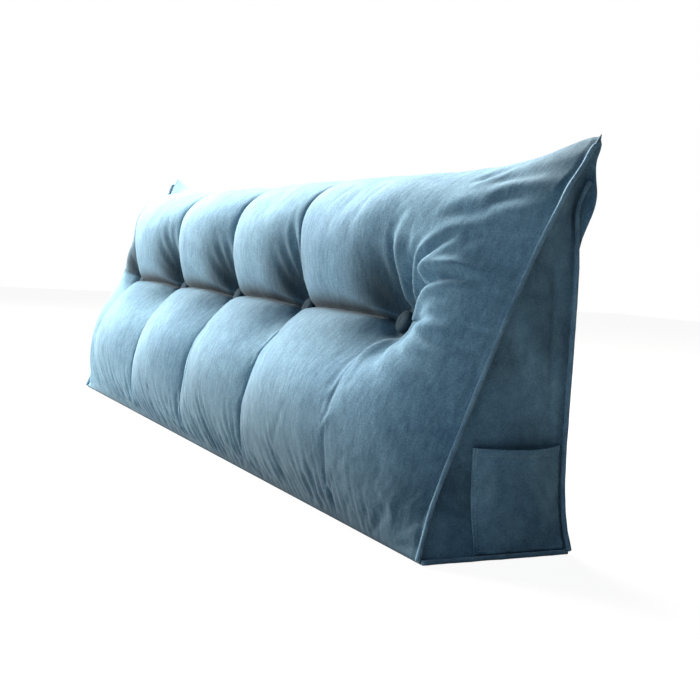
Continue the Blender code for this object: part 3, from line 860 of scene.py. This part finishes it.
def paintedShadeAndPileFront():
    # how much painted shade and pressed pile darken the cloth at each point of the net, from 0 to 1
    x = np.repeat(columns[:, None], len(shares), axis=1)
    share = np.repeat(shares[None, :], len(columns), axis=0)
    offsets = x[..., None] - np.array(buttonXs)
    away = np.min(np.abs(offsets), axis=-1)
    up = (share - cover["buttonShare"]) * slant
    fromRow = np.abs(up)
    left, above = paintedShadeAndPile["flankPlace"]
    fromFlank = np.hypot(np.min(np.abs(offsets - left), axis=-1), up - above)
    flank = falloff(fromFlank, paintedShadeAndPile["flankWidth"])
    flank = flank * ease(share, cover["buttonShare"], paintedShadeAndPile["flankRise"])
    # row, pit and line are pressed pile and painted shade; below, rightEnd, leftEar, foot and flank are
    # painted shade only
    amounts = {
        "row": rowReach(x) * np.exp(-((fromRow / paintedShadeAndPile["rowWidth"]) ** paintedShadeAndPile["rowSharpness"])),
        "pit": falloff(np.hypot(away, fromRow), paintedShadeAndPile["pitWidth"]),
        "below": rowReach(x) * falloff(fromRow, paintedShadeAndPile["belowWidth"]) * (share < cover["buttonShare"]),
        "rightEnd": ease(x, *paintedShadeAndPile["rightEndXs"]) * ease(share, *paintedShadeAndPile["rightEndShares"]),
        "leftEar": ease(x, *paintedShadeAndPile["leftEarXs"]) * ease(share, *paintedShadeAndPile["leftEarShares"]),
        "foot": ease(x, *paintedShadeAndPile["footXs"]) * ease(share, *paintedShadeAndPile["footShares"]),
        "flank": flank,
        "line": falloff(away, paintedShadeAndPile["lineWidth"]) * creaseDepth(x, share) / tuftLines[:, 2].max(),
    }
    most = np.maximum.reduce([paintedShadeAndPile[kind] * amount for kind, amount in amounts.items()])
    return most * (parts == 0)[None, :]


def coverPaintedShadeAndPile():
    front = paintedShadeAndPileFront()
    wide, tall = paintedShadeAndPile["panelPatchPeriods"]
    leanWide, leanTall = paintedShadeAndPile["panelPatchLeans"]
    y, z = flat[front.size:, 1], flat[front.size:, 2]
    patches = ripple(y + leanWide * z, wide, 0.8) + ripple(z - leanTall * y, tall, 2.1)
    patches = smooth(0.5 + paintedShadeAndPile["panelPatchContrast"] * patches)
    return np.concatenate((front.ravel(), paintedShadeAndPile["panelPatch"] * patches))


# the cover's painted shade and pressed pile go to its material as a point attribute
pillow.data.attributes.new("paintedShadeAndPile", "FLOAT", "POINT").data.foreach_set("value", coverPaintedShadeAndPile())


def addPiece(name, vertices, faces):
    mesh = bpy.data.meshes.new(name)
    mesh.from_pydata([tuple(vertex) for vertex in vertices], [], [tuple(face) for face in faces])
    return finishPiece(name, mesh)


def tubeFaces(rings, sides, start=0):
    # the faces between rings of points that follow one another
    faces = []
    for ring in range(rings - 1):
        low = start + ring * sides
        high = low + sides
        for k in range(sides):
            turn = (k + 1) % sides
            faces.append((low + k, low + turn, high + turn, high + k))
    return faces


def fanFaces(first, sides, middle):
    # the faces from a ring of points to one point
    return [(first + k, first + (k + 1) % sides, middle) for k in range(sides)]


def unitRows(rows):
    return rows / np.linalg.norm(rows, axis=1, keepdims=True)


def coverTree():
    bm = bmesh.new()
    bm.from_mesh(pillow.data)
    made = BVHTree.FromBMesh(bm)
    bm.free()
    return made


tree = coverTree()


# Cords: each is a strip of the cover's cloth wrapped round a thin cord, its edge tucked into the seam
cord = {
    "radius": 0.0030,
    "gap": 0.0004,
    "sides": 16,
    "pitch": 0.0022,
    "tuckShare": 0.20,
    "tuckSharpness": 7,
    "puckerDepth": 0.00016,
    "puckerPeriod": 0.0075,
    "slackDepth": 0.00035,
    "slackPeriod": 0.09,
    "frontWay": (0.80, 0.60),
    "rearTurn": 0.10,
    "lipTurn": 0.50,
    "lipExtra": 0.80,
    "baseSetBack": 0.0052,
    "topRow": 0.900,
    "rearRow": 0.10,
    "basePlaces": 40,
    "settling": 30,
    "settlingRoom": 0.00002,
    "evening": 4,
    "turning": 6,
    "puckerTwist": 0.0012,
    "slackCosine": 0.5,
    "capShare": 0.4,
}


def seamPath(side, which):
    # the seam's places at one end of the cover
    column = places[0] if side < 0 else places[-1]
    if which == "front":
        return column[(parts == 0) & (shares <= cord["topRow"])]
    if which == "rear":
        rear = column[(parts == 1) & (shares >= cord["rearRow"])]
        return np.concatenate((rear, [column[parts == 3][0]]))
    edge = halfDepth - cord["baseSetBack"]
    ys = np.linspace(-edge, edge, cord["basePlaces"])
    ends = np.full_like(ys, side * halfLength)
    xs = ends - drawIn(ends, ys, np.zeros_like(ys), np.zeros(len(ys), bool))
    return np.stack([xs, ys, np.full_like(ys, cord["radius"] + 2 * cord["gap"])], axis=-1)


def cordWay(which, side, z):
    # the way in which a cord stands off its seam
    if which == "front":
        out, across = cord["frontWay"]
        return Vector((out * side, across * outward[0], across * outward[1]))
    if which == "base":
        return Vector((side, 0, 0))
    underLip = falloff(z - cover["lipHeight"], cover["lipSpan"])
    way = Vector((side, cord["rearTurn"] - cord["lipTurn"] * underLip, 0))
    return way.normalized() * (1 + cord["lipExtra"] * underLip)


def cordPath(side, which):
    # even steps along the seam, each moved off the cover until it is just clear of it
    seam = seamPath(side, which)
    lengths = np.concatenate(([0], np.cumsum(np.linalg.norm(np.diff(seam, axis=0), axis=1))))
    count = int(lengths[-1] / cord["pitch"])
    even = np.linspace(0, lengths[-1], count)
    seam = np.stack([np.interp(even, lengths, seam[:, k]) for k in range(3)], axis=-1)
    clear = cord["radius"] + cord["gap"]
    placed = []
    for spot in seam:
        place = Vector(spot) + cordWay(which, side, spot[2]) * clear
        for _ in range(cord["settling"]):
            near, _, _, distance = tree.find_nearest(place)
            if distance >= clear:
                break
            place = near + (place - near).normalized() * (clear + cord["settlingRoom"])
            if which == "base":
                place.z = spot[2]
        placed.append(place)
    path = np.array(placed)
    for _ in range(cord["evening"]):
        path[1:-1] = (path[:-2] + 2 * path[1:-1] + path[2:]) / 4
    return path, seam, even


def buildCord(name, side, which):
    path, seam, at = cordPath(side, which)
    tangents = unitRows(np.gradient(path, axis=0))
    inwards = seam - path
    inwards = unitRows(inwards - tangents * (inwards * tangents).sum(axis=1, keepdims=True))
    for _ in range(cord["turning"]):
        inwards[1:-1] = (inwards[:-2] + inwards[1:-1] + inwards[2:]) / 3
    inwards = unitRows(inwards)
    sideways = np.cross(tangents, inwards)
    sides = cord["sides"]
    angle = np.arange(sides) * 2 * math.pi / sides
    cosines = np.cos(angle)
    tuck = cord["tuckShare"] * np.maximum(0, cosines) ** cord["tuckSharpness"]
    twisted = at[:, None] + cord["puckerTwist"] * angle[None, :]
    pucker = cord["puckerDepth"] * np.abs(ripple(twisted, cord["puckerPeriod"], side + 2.0))
    slack = cord["slackDepth"] * np.abs(ripple(at, cord["slackPeriod"], side + 0.6))[:, None]
    isLoose = cosines < cord["slackCosine"]
    around = cord["radius"] * (1 + tuck)[None, :] - pucker - slack * isLoose[None, :]
    ring = cosines[None, :, None] * inwards[:, None, :]
    ring = ring + np.sin(angle)[None, :, None] * sideways[:, None, :]
    vertices = list((path[:, None, :] + around[..., None] * ring).reshape(-1, 3))
    faces = tubeFaces(len(path), sides)
    last = (len(path) - 1) * sides
    for first, centre, way in ((0, path[0], -tangents[0]), (last, path[-1], tangents[-1])):
        vertices.append(centre + way * cord["radius"] * cord["capShare"])
        faces += fanFaces(first, sides, len(vertices) - 1)
    return addPiece(name, vertices, faces)


cordPieces = []
for side, sideName in ((1, "right"), (-1, "left")):
    for which in ("front", "rear", "base"):
        made = buildCord(f"cord{sideName.title()}{which.title()}", side, which)
        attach(made, "root")
        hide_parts(f"welt_{sideName}_{which}")
        cordPieces.append(made)
print("cords sewn in:", len(cordPieces))


# Buttons: a domed disc covered in the same velvet, drawn tight, with small pleats round its rim
button = {
    "radius": 0.0148,
    "thickness": 0.0090,
    "gap": 0.0004,
    "steps": 72,
    "pleats": 17,
    "pleatDepth": 0.00045,
    "pleatSharpness": 4,
    "pleatTop": 1.1,
    "pleatWander": 0.6,
    "dimple": 0.0006,
    "dimpleWidth": 0.3,
}
buttonOutline = (
    # radius and height, as parts of the button's own
    (0.00, 0.00),
    (0.70, 0.00),
    (0.88, 0.05),
    (0.97, 0.18),
    (1.00, 0.34),
    (0.99, 0.48),
    (0.95, 0.62),
    (0.88, 0.74),
    (0.78, 0.84),
    (0.64, 0.92),
    (0.48, 0.97),
    (0.30, 0.995),
    (0.14, 1.00),
    (0.00, 1.00),
)


def buildButton(name, x, number):
    up = np.array((0, along[0], along[1]))
    out = np.array((0, outward[0], outward[1]))
    foot = np.array((x, frontFoot[0], frontFoot[1]))
    seat = foot + up * cover["buttonShare"] * slant + out * (cover["seatHeight"] + button["gap"])
    across = np.array((1.0, 0, 0))
    steps = button["steps"]
    vertices = []
    for share, height in buttonOutline[1:-1]:
        sunk = button["dimple"] * falloff(share, button["dimpleWidth"]) * (height > 0.5)
        centre = seat + out * (height * button["thickness"] - sunk)
        deep = button["pleatDepth"] * share ** button["pleatSharpness"] * (button["pleatTop"] - height)
        for k in range(steps):
            angle = k * 2 * math.pi / steps
            wander = number + button["pleatWander"] * math.sin(3 * angle)
            pleat = deep * (0.5 + 0.5 * math.cos(button["pleats"] * angle + wander))
            radius = share * button["radius"] - pleat
            vertices.append(centre + radius * (math.cos(angle) * across + math.sin(angle) * up))
    rings = len(buttonOutline) - 2
    faces = tubeFaces(rings, steps)
    vertices.append(seat)
    vertices.append(seat + out * (button["thickness"] - button["dimple"]))
    faces += fanFaces(0, steps, len(vertices) - 2)
    faces += fanFaces((rings - 1) * steps, steps, len(vertices) - 1)
    return addPiece(name, vertices, faces)


buttonPieces = []
for number, (name, x) in enumerate(zip(buttonNames, buttonXs), start=1):
    made = buildButton(f"coveredButton{number}", x, number)
    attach(made, "root")
    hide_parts(name)
    buttonPieces.append(made)
print("buttons covered:", len(buttonPieces))


# The pocket: one piece of cloth with a turned hem at its mouth and turned, stitched edges
pocketLow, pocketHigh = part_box("pocket")
pocket = {
    "frontY": pocketLow.y,
    "rearY": pocketHigh.y,
    "footZ": pocketLow.z,
    "topZ": pocketHigh.z,
    "rimSag": 0.002,
    "rimWave": 0.0008,
    "rimTurns": 7.0,
    "gap": 0.0008,
    "gape": 0.0115,
    "squareness": 2.6,
    "swellShare": 0.42,
    "cloth": 0.0016,
    "hemCloth": 0.0029,
    "hemWidth": 0.0090,
    "hemStep": 0.0012,
    "edgeWidth": 0.0060,
    "edgeCloth": 0.0021,
    "edgeStep": 0.0020,
    "turnedSides": 0.008,
    "turnedFoot": 0.003,
    "stitchDip": 0.0006,
    "stitchInset": 0.0032,
    "hemDipWidth": 0.0010,
    "edgeDipWidth": 0.0009,
    "columns": 84,
    "rows": 84,
    "rimCrowding": 1.25,
    "edgeCrowding": 0.25,
    "dent": 0.0007,
    # radians across the pocket and up it, and a start, for each of the dents' two waves
    "dentWaves": ((9, 4, 0), (-3, 7, 1)),
    "rayStart": 1.5,
    "softRim": 0.0006,
}
pocketWidth = pocket["rearY"] - pocket["frontY"]
pocketHeight = pocket["topZ"] - pocket["footZ"]


def pocketBase(across, up):
    # the pocket's inner face at a place given in parts of its width and height
    wave = pocket["rimWave"] * math.sin(across * pocket["rimTurns"]) * across
    sag = pocket["rimSag"] * math.sin(across * math.pi) - wave
    z = pocket["footZ"] + (pocketHeight - sag) * up
    y = pocket["frontY"] + pocketWidth * across
    fullness = 1 - abs(2 * across - 1) ** pocket["squareness"]
    rise = 1 - (1 - min(1.0, up / pocket["swellShare"])) ** 2
    near = tree.ray_cast(Vector((pocket["rayStart"], y, z)), Vector((-1, 0, 0)))[0].x
    dents = pocket["dent"] * fullness
    for acrossTurn, upTurn, start in pocket["dentWaves"]:
        dents *= abs(math.sin(across * acrossTurn + up * upTurn + start))
    bulge = pocket["gape"] * fullness * rise - dents
    return Vector((near + pocket["gap"] + bulge, y, z))


def pocketThickness(across, up):
    # the cloth is thicker in its hem and turned edges, and dips along its stitches
    fromRim = (1 - up) * pocketHeight
    fromEdge = min(across * pocketWidth, (1 - across) * pocketWidth, up * pocketHeight)
    hem = float(smooth((pocket["hemWidth"] - fromRim) / pocket["hemStep"]))
    edge = float(smooth((pocket["edgeWidth"] - fromEdge) / pocket["edgeStep"]))
    thick = pocket["cloth"] + (pocket["hemCloth"] - pocket["cloth"]) * hem
    thick = max(thick, pocket["cloth"] + (pocket["edgeCloth"] - pocket["cloth"]) * edge)
    hemDip = falloff(fromRim - pocket["hemWidth"] + pocket["hemStep"], pocket["hemDipWidth"])
    edgeDip = falloff(fromEdge - pocket["stitchInset"], pocket["edgeDipWidth"])
    return thick - pocket["stitchDip"] * max(hemDip, edgeDip)


def buildPocket():
    # an inner and an outer face of the cloth, joined all round their rim
    columnCount = pocket["columns"]
    rowCount = pocket["rows"]
    inner = []
    outer = []
    for j in range(rowCount + 1):
        up = 1 - (1 - j / rowCount) ** pocket["rimCrowding"]
        for k in range(columnCount + 1):
            spread = 1 - pocket["edgeCrowding"] + pocket["edgeCrowding"] * abs(1 - 2 * k / columnCount)
            across = 0.5 - 0.5 * math.cos(math.pi * k / columnCount) * spread
            base = pocketBase(across, up)
            inner.append(base)
            outer.append(base + Vector((pocketThickness(across, up), 0, 0)))
    width = columnCount + 1
    offset = len(inner)
    faces = []
    for j in range(rowCount):
        for k in range(columnCount):
            a = j * width + k
            faces.append((a, a + 1, a + width + 1, a + width))
            faces.append((offset + a, offset + a + width, offset + a + width + 1, offset + a + 1))
    rim = list(range(width)) + [j * width + columnCount for j in range(1, rowCount + 1)]
    rim += [rowCount * width + k for k in range(columnCount - 1, -1, -1)]
    rim += [j * width for j in range(rowCount - 1, 0, -1)]
    for a, b in zip(rim, rim[1:] + rim[:1]):
        faces.append((a, b, offset + b, offset + a))
    return addPiece("sidePocket", inner + outer, faces)


sidePocket = buildPocket()
bevel = sidePocket.modifiers.new("softRim", "BEVEL")
bevel.width = pocket["softRim"]
bevel.segments = 2
bevel.limit_method = "ANGLE"
bevel.angle_limit = math.radians(50)
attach(sidePocket, "root")
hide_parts("pocket")
print("pocket sewn on:", round(pocketWidth * 1000), "x", round(pocketHeight * 1000), "mm")


# Stitches: short raised threads, a row below the pocket's hem, one along each of its edges, and close tacks
# across both ends of its mouth
thread = {
    "length": 0.0027,
    "step": 0.0036,
    "radius": 0.00034,
    "lift": 0.4,
    "sides": 6,
    "stations": (0.0, 0.08, 0.3, 0.5, 0.7, 0.92, 1.0),
    "girths": (0.15, 0.7, 1.0, 1.05, 1.0, 0.7, 0.15),
    "edgeTop": 0.995,
    "tackRows": 5,
    "tackStep": 0.0011,
    "tackTop": 0.992,
    "tackInset": 0.008,
    "linePlaces": 60,
}


def stitchRow(places):
    # one row of threads along a line of places, each a small capsule
    lengths = np.concatenate(([0], np.cumsum(np.linalg.norm(np.diff(places, axis=0), axis=1))))
    vertices = []
    faces = []
    sides = thread["sides"]
    at = thread["step"] / 2
    while at + thread["length"] < lengths[-1]:
        stations = at + thread["length"] * np.array(thread["stations"])
        sizes = np.array(thread["girths"]) * thread["radius"]
        centres = np.stack([np.interp(stations, lengths, places[:, k]) for k in range(3)], axis=-1)
        way = centres[-1] - centres[0]
        way /= np.linalg.norm(way)
        first = np.cross(way, (1.0, 0.0, 0.0))
        first /= np.linalg.norm(first)
        second = np.cross(way, first)
        start = len(vertices)
        for centre, size in zip(centres, sizes):
            for j in range(sides):
                angle = j * 2 * math.pi / sides
                vertices.append(centre + size * (math.cos(angle) * first + math.sin(angle) * second))
        faces += tubeFaces(len(stations), sides, start)
        faces.append(tuple(start + j for j in range(sides)))
        faces.append(tuple(start + (len(stations) - 1) * sides + j for j in range(sides)))
        at += thread["step"]
    return vertices, faces


def pocketLine(start, end):
    # places on the pocket's outer face along a line between two places in parts of its width and height
    line = []
    for t in np.linspace(0, 1, thread["linePlaces"]):
        across = start[0] + (end[0] - start[0]) * t
        up = start[1] + (end[1] - start[1]) * t
        lift = pocketThickness(across, up) + thread["lift"] * thread["radius"]
        line.append(pocketBase(across, up) + Vector((lift, 0, 0)))
    return np.array(line)


def buildStitches():
    inset = pocket["stitchInset"] / pocketWidth
    foot = pocket["stitchInset"] / pocketHeight
    hemLine = 1 - (pocket["hemWidth"] - pocket["hemStep"]) / pocketHeight
    top = thread["edgeTop"]
    runs = [
        ((inset, hemLine), (1 - inset, hemLine)),
        ((inset, top), (inset, foot)),
        ((1 - inset, top), (1 - inset, foot)),
        ((inset, foot), (1 - inset, foot)),
    ]
    outside = thread["tackInset"]
    inside = outside + 2 * inset
    for k in range(thread["tackRows"]):
        up = thread["tackTop"] - k * thread["tackStep"] / pocketHeight
        runs += [((outside, up), (inside, up)), ((1 - inside, up), (1 - outside, up))]
    vertices = []
    faces = []
    for start, end in runs:
        rowVertices, rowFaces = stitchRow(pocketLine(start, end))
        faces += [tuple(index + len(vertices) for index in face) for face in rowFaces]
        vertices += rowVertices
    return addPiece("pocketStitches", vertices, faces)


pocketStitches = buildStitches()
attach(pocketStitches, "root")
print("stitches sewn:", len(pocketStitches.data.polygons), "faces")


# Materials: one group makes the velvet's pile, and each cloth has its own values for it
pile = {
    "noises": {
        # scale input, detail, roughness, distortion
        "patches": ("Patch Scale", 3, 0.55, 0.6),
        "streaks": ("Streak Scale", 4, 0.6, 0.0),
        "grain": ("Grain Scale", 2, 0.5, 0.0),
    },
    "streakStretch": (1.0, 0.30, 0.30),
    "streakShare": 0.45,
    "grainShare": 0.30,
    "napRange": (0.62, 1.12, 0.0, 1.0),
    "paintedShadeAndPileRange": (0.0, 1.0, 1.0, 0.06),
    "grainRange": (0.32, 0.68, 0.87, 1.13),
    "streakRange": (0.30, 0.70, 0.88, 1.12),
    "roughRange": (0.0, 1.0, 0.92, 0.74),
    "grainHeight": 0.35,
}


def groupSocket(group, name, inOut, kind, value=None):
    socket = group.interface.new_socket(name=name, in_out=inOut, socket_type=kind)
    if value is not None:
        socket.default_value = value
    return socket


def mathNode(group, operation, *values):
    # a maths node whose inputs are other nodes' outputs or plain numbers
    made = group.nodes.new("ShaderNodeMath")
    made.operation = operation
    for socket, value in zip(made.inputs, values):
        if isinstance(value, float):
            socket.default_value = value
        else:
            group.links.new(value, socket)
    return made.outputs["Value"]


def rangeNode(group, source, limits):
    made = group.nodes.new("ShaderNodeMapRange")
    for name, value in zip(("From Min", "From Max", "To Min", "To Max"), limits):
        made.inputs[name].default_value = value
    group.links.new(source, made.inputs["Value"])
    return made.outputs["Result"]


def pileGroup():
    # velvet pile: nap patches, brushed streaks and fine grain, as a colour, a roughness and a height, with
    # the colour darkened by painted shade and pressed pile
    group = bpy.data.node_groups.new("velvetPile", "ShaderNodeTree")
    groupSocket(group, "Deep", "INPUT", "NodeSocketColor", (0.03, 0.06, 0.09, 1))
    groupSocket(group, "Light", "INPUT", "NodeSocketColor", (0.12, 0.24, 0.32, 1))
    scales = {"Patch Scale": 9.0, "Streak Scale": 60.0, "Grain Scale": 900.0}
    for name, value in {**scales, "Painted Shade And Pile": 0.0}.items():
        groupSocket(group, name, "INPUT", "NodeSocketFloat", value)
    groupSocket(group, "Colour", "OUTPUT", "NodeSocketColor")
    groupSocket(group, "Roughness", "OUTPUT", "NodeSocketFloat")
    groupSocket(group, "Height", "OUTPUT", "NodeSocketFloat")
    nodes = group.nodes
    links = group.links
    inputs = nodes.new("NodeGroupInput")
    outputs = nodes.new("NodeGroupOutput")
    place = nodes.new("ShaderNodeTexCoord")
    stretch = nodes.new("ShaderNodeMapping")
    stretch.inputs["Scale"].default_value = pile["streakStretch"]
    links.new(place.outputs["Object"], stretch.inputs["Vector"])
    noises = {}
    for kind, (scaleInput, detail, roughness, distortion) in pile["noises"].items():
        noise = nodes.new("ShaderNodeTexNoise")
        noise.inputs["Detail"].default_value = detail
        noise.inputs["Roughness"].default_value = roughness
        noise.inputs["Distortion"].default_value = distortion
        at = stretch.outputs["Vector"] if kind == "streaks" else place.outputs["Object"]
        links.new(at, noise.inputs["Vector"])
        links.new(inputs.outputs[scaleInput], noise.inputs["Scale"])
        noises[kind] = noise.outputs["Fac"]
    nap = mathNode(group, "MULTIPLY_ADD", noises["streaks"], pile["streakShare"], noises["patches"])
    nap = mathNode(group, "MULTIPLY_ADD", noises["grain"], pile["grainShare"], nap)
    mix = nodes.new("ShaderNodeMix")
    mix.data_type = "RGBA"
    links.new(rangeNode(group, nap, pile["napRange"]), mix.inputs["Factor"])
    links.new(inputs.outputs["Deep"], mix.inputs[6])
    links.new(inputs.outputs["Light"], mix.inputs[7])
    # painted shade and pressed pile scale the colour down, to 0.06 of it at the most
    shade = rangeNode(group, inputs.outputs["Painted Shade And Pile"], pile["paintedShadeAndPileRange"])
    shade = mathNode(group, "MULTIPLY", shade, rangeNode(group, noises["grain"], pile["grainRange"]))
    shade = mathNode(group, "MULTIPLY", shade, rangeNode(group, noises["streaks"], pile["streakRange"]))
    darkened = nodes.new("ShaderNodeVectorMath")
    darkened.operation = "SCALE"
    links.new(mix.outputs[2], darkened.inputs[0])
    links.new(shade, darkened.inputs["Scale"])
    links.new(darkened.outputs["Vector"], outputs.inputs["Colour"])
    links.new(rangeNode(group, noises["streaks"], pile["roughRange"]), outputs.inputs["Roughness"])
    height = mathNode(group, "MULTIPLY_ADD", noises["grain"], pile["grainHeight"], noises["streaks"])
    links.new(height, outputs.inputs["Height"])
    return group


velvetPile = pileGroup()


def velvetMaterial(name, look):
    made = bpy.data.materials.new(name)
    made.use_nodes = True
    nodes = made.node_tree.nodes
    links = made.node_tree.links
    shader = nodes["Principled BSDF"]
    shader.inputs["Sheen Weight"].default_value = look["sheen"]
    shader.inputs["Sheen Roughness"].default_value = look["sheenRoughness"]
    shader.inputs["Sheen Tint"].default_value = (*look["sheenTint"], 1)
    shader.inputs["Specular IOR Level"].default_value = look["specular"]
    velvet = nodes.new("ShaderNodeGroup")
    velvet.node_tree = velvetPile
    velvet.inputs["Deep"].default_value = (*look["deep"], 1)
    velvet.inputs["Light"].default_value = (*look["light"], 1)
    velvet.inputs["Patch Scale"].default_value = look["patchScale"]
    velvet.inputs["Streak Scale"].default_value = look["streakScale"]
    velvet.inputs["Grain Scale"].default_value = look["grainScale"]
    # the cover's painted shade and pressed pile, read from its attribute
    paintedShadeAndPileNode = nodes.new("ShaderNodeAttribute")
    paintedShadeAndPileNode.attribute_name = "paintedShadeAndPile"
    links.new(paintedShadeAndPileNode.outputs["Fac"], velvet.inputs["Painted Shade And Pile"])
    links.new(velvet.outputs["Colour"], shader.inputs["Base Color"])
    links.new(velvet.outputs["Roughness"], shader.inputs["Roughness"])
    bump = nodes.new("ShaderNodeBump")
    bump.inputs["Strength"].default_value = look["bumpStrength"]
    bump.inputs["Distance"].default_value = look["bumpDistance"]
    links.new(velvet.outputs["Height"], bump.inputs["Height"])
    links.new(bump.outputs["Normal"], shader.inputs["Normal"])
    return made


coverLook = {
    "deep": (0.078, 0.166, 0.248),
    "light": (0.142, 0.263, 0.347),
    "sheen": 0.10,
    "sheenRoughness": 0.55,
    "sheenTint": (0.85, 0.92, 0.96),
    "specular": 0.06,
    "patchScale": 7.0,
    "streakScale": 190.0,
    "grainScale": 520.0,
    "bumpStrength": 0.45,
    "bumpDistance": 0.0010,
}
# The buttons' velvet is the cover's in a much darker colour: painted shade for the pits they sit in
paintedShadeButtonLook = {
    "deep": (0.012, 0.028, 0.042),
    "light": (0.026, 0.052, 0.074),
    "sheen": 0.04,
}
threadLook = {
    "deep": (0.16, 0.27, 0.34),
    "light": (0.24, 0.36, 0.43),
    "sheen": 0.2,
    "specular": 0.4,
    "patchScale": 40.0,
    "bumpDistance": 0.0002,
}
coverVelvet = velvetMaterial("coverVelvet", coverLook)
paintedShadeButtonVelvet = velvetMaterial("paintedShadeButtonVelvet", {**coverLook, **paintedShadeButtonLook})
cordVelvet = velvetMaterial("cordVelvet", {**coverLook, "sheen": 0.40, "patchScale": 30.0})
pocketVelvet = velvetMaterial("pocketVelvet", {**coverLook, "patchScale": 16.0})
threadFinish = velvetMaterial("threadFinish", {**coverLook, **threadLook})
pillow.data.materials.append(coverVelvet)
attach(pillow, "root")
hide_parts("cushion")
for made in cordPieces:
    made.data.materials.append(cordVelvet)
for made in buttonPieces:
    made.data.materials.append(paintedShadeButtonVelvet)
sidePocket.data.materials.append(pocketVelvet)
pocketStitches.data.materials.append(threadFinish)


# Studio: a pale floor, soft lights and the camera, whose turns are in degrees
studio = {
    "floorSize": 12.0,
    "floorColour": (0.30, 0.30, 0.30),
    "floorWhiteness": 0.80,
    "floorGlow": 1.18,
    "cameraPlace": (1.719, -0.696, 0.316),
    "yaw": 152.7,
    "pitch": -4.6,
    "roll": 3.58,
    "lens": 56.26,
    "worldColour": (0.70, 0.85, 1.0),
    "worldLight": 0.040,
}
bpy.ops.mesh.primitive_plane_add(size=studio["floorSize"])
floor = bpy.context.object
floor.name = "floor"
floorPaint = bpy.data.materials.new("floorPaint")
floorPaint.use_nodes = True
floorNodes = floorPaint.node_tree.nodes
floorLinks = floorPaint.node_tree.links
floorNodes["Principled BSDF"].inputs["Base Color"].default_value = (*studio["floorColour"], 1)
floorNodes["Principled BSDF"].inputs["Roughness"].default_value = 0.9
# to the camera the floor is mostly an even white, so that only a soft contact shadow shows on it
floorWhite = floorNodes.new("ShaderNodeEmission")
floorWhite.inputs["Color"].default_value = (1, 1, 1, 1)
floorWhite.inputs["Strength"].default_value = studio["floorGlow"]
floorSight = floorNodes.new("ShaderNodeLightPath")
floorShare = floorNodes.new("ShaderNodeMath")
floorShare.operation = "MULTIPLY"
floorShare.inputs[1].default_value = studio["floorWhiteness"]
floorMix = floorNodes.new("ShaderNodeMixShader")
floorLinks.new(floorSight.outputs["Is Camera Ray"], floorShare.inputs[0])
floorLinks.new(floorShare.outputs["Value"], floorMix.inputs["Fac"])
floorLinks.new(floorNodes["Principled BSDF"].outputs["BSDF"], floorMix.inputs[1])
floorLinks.new(floorWhite.outputs["Emission"], floorMix.inputs[2])
floorLinks.new(floorMix.outputs["Shader"], floorNodes["Material Output"].inputs["Surface"])
floor.data.materials.append(floorPaint)

world = bpy.data.worlds.new("studioWorld")
world.use_nodes = True
bpy.context.scene.world = world
air = world.node_tree.nodes["Background"]
air.inputs["Color"].default_value = (*studio["worldColour"], 1)
air.inputs["Strength"].default_value = studio["worldLight"]
backdrop = world.node_tree.nodes.new("ShaderNodeBackground")
backdrop.inputs["Color"].default_value = (1, 1, 1, 1)
seen = world.node_tree.nodes.new("ShaderNodeLightPath")
choice = world.node_tree.nodes.new("ShaderNodeMixShader")
world.node_tree.links.new(seen.outputs["Is Camera Ray"], choice.inputs["Fac"])
world.node_tree.links.new(air.outputs["Background"], choice.inputs[1])
world.node_tree.links.new(backdrop.outputs["Background"], choice.inputs[2])
world.node_tree.links.new(choice.outputs["Shader"], world.node_tree.nodes["World Output"].inputs["Surface"])

lights = (
    # name, place, aim, size, watts, colour
    ("keyLight", (-1.3, 0.0, 2.25), (-0.1, 0.0, 0.25), 1.3, 320, (0.98, 0.94, 0.88)),
    ("frontLight", (-2.5, -1.7, 1.4), (-0.1, 0.0, 0.2), 1.1, 225, (0.98, 0.94, 0.88)),
    ("nearLight", (1.0, -2.3, 0.7), (0.5, 0.0, 0.25), 1.4, 12, (0.80, 0.88, 1.0)),
    ("fillLight", (2.2, -1.3, 1.2), (0.7, 0.0, 0.2), 2.0, 6.3, (0.60, 0.78, 1.0)),
)
for name, place, aim, size, watts, colour in lights:
    lamp = bpy.data.lights.new(name, "AREA")
    lamp.size = size
    lamp.energy = watts
    lamp.color = colour
    holder = bpy.data.objects.new(name, lamp)
    holder.location = place
    holder.rotation_euler = (Vector(aim) - Vector(place)).to_track_quat("-Z", "Y").to_euler()
    bpy.context.scene.collection.objects.link(holder)

yaw, pitch, roll = (math.radians(studio[key]) for key in ("yaw", "pitch", "roll"))
ahead = Vector((math.cos(pitch) * math.cos(yaw), math.cos(pitch) * math.sin(yaw), math.sin(pitch)))
rightWay = Vector((math.sin(yaw), -math.cos(yaw), 0))
upWay = rightWay.cross(ahead)
rolledRight = math.cos(roll) * rightWay + math.sin(roll) * upWay
rolledUp = -math.sin(roll) * rightWay + math.cos(roll) * upWay
cameraData = bpy.data.cameras.new("camera")
cameraData.lens = studio["lens"]
cameraData.sensor_width = 36
cameraData.clip_start = 0.05
camera = bpy.data.objects.new("camera", cameraData)
turn = Matrix((rolledRight, rolledUp, -ahead)).transposed().to_4x4()
camera.matrix_world = Matrix.Translation(studio["cameraPlace"]) @ turn
bpy.context.scene.collection.objects.link(camera)
bpy.context.scene.camera = camera
bpy.context.scene.view_settings.view_transform = "Standard"
print("studio ready")
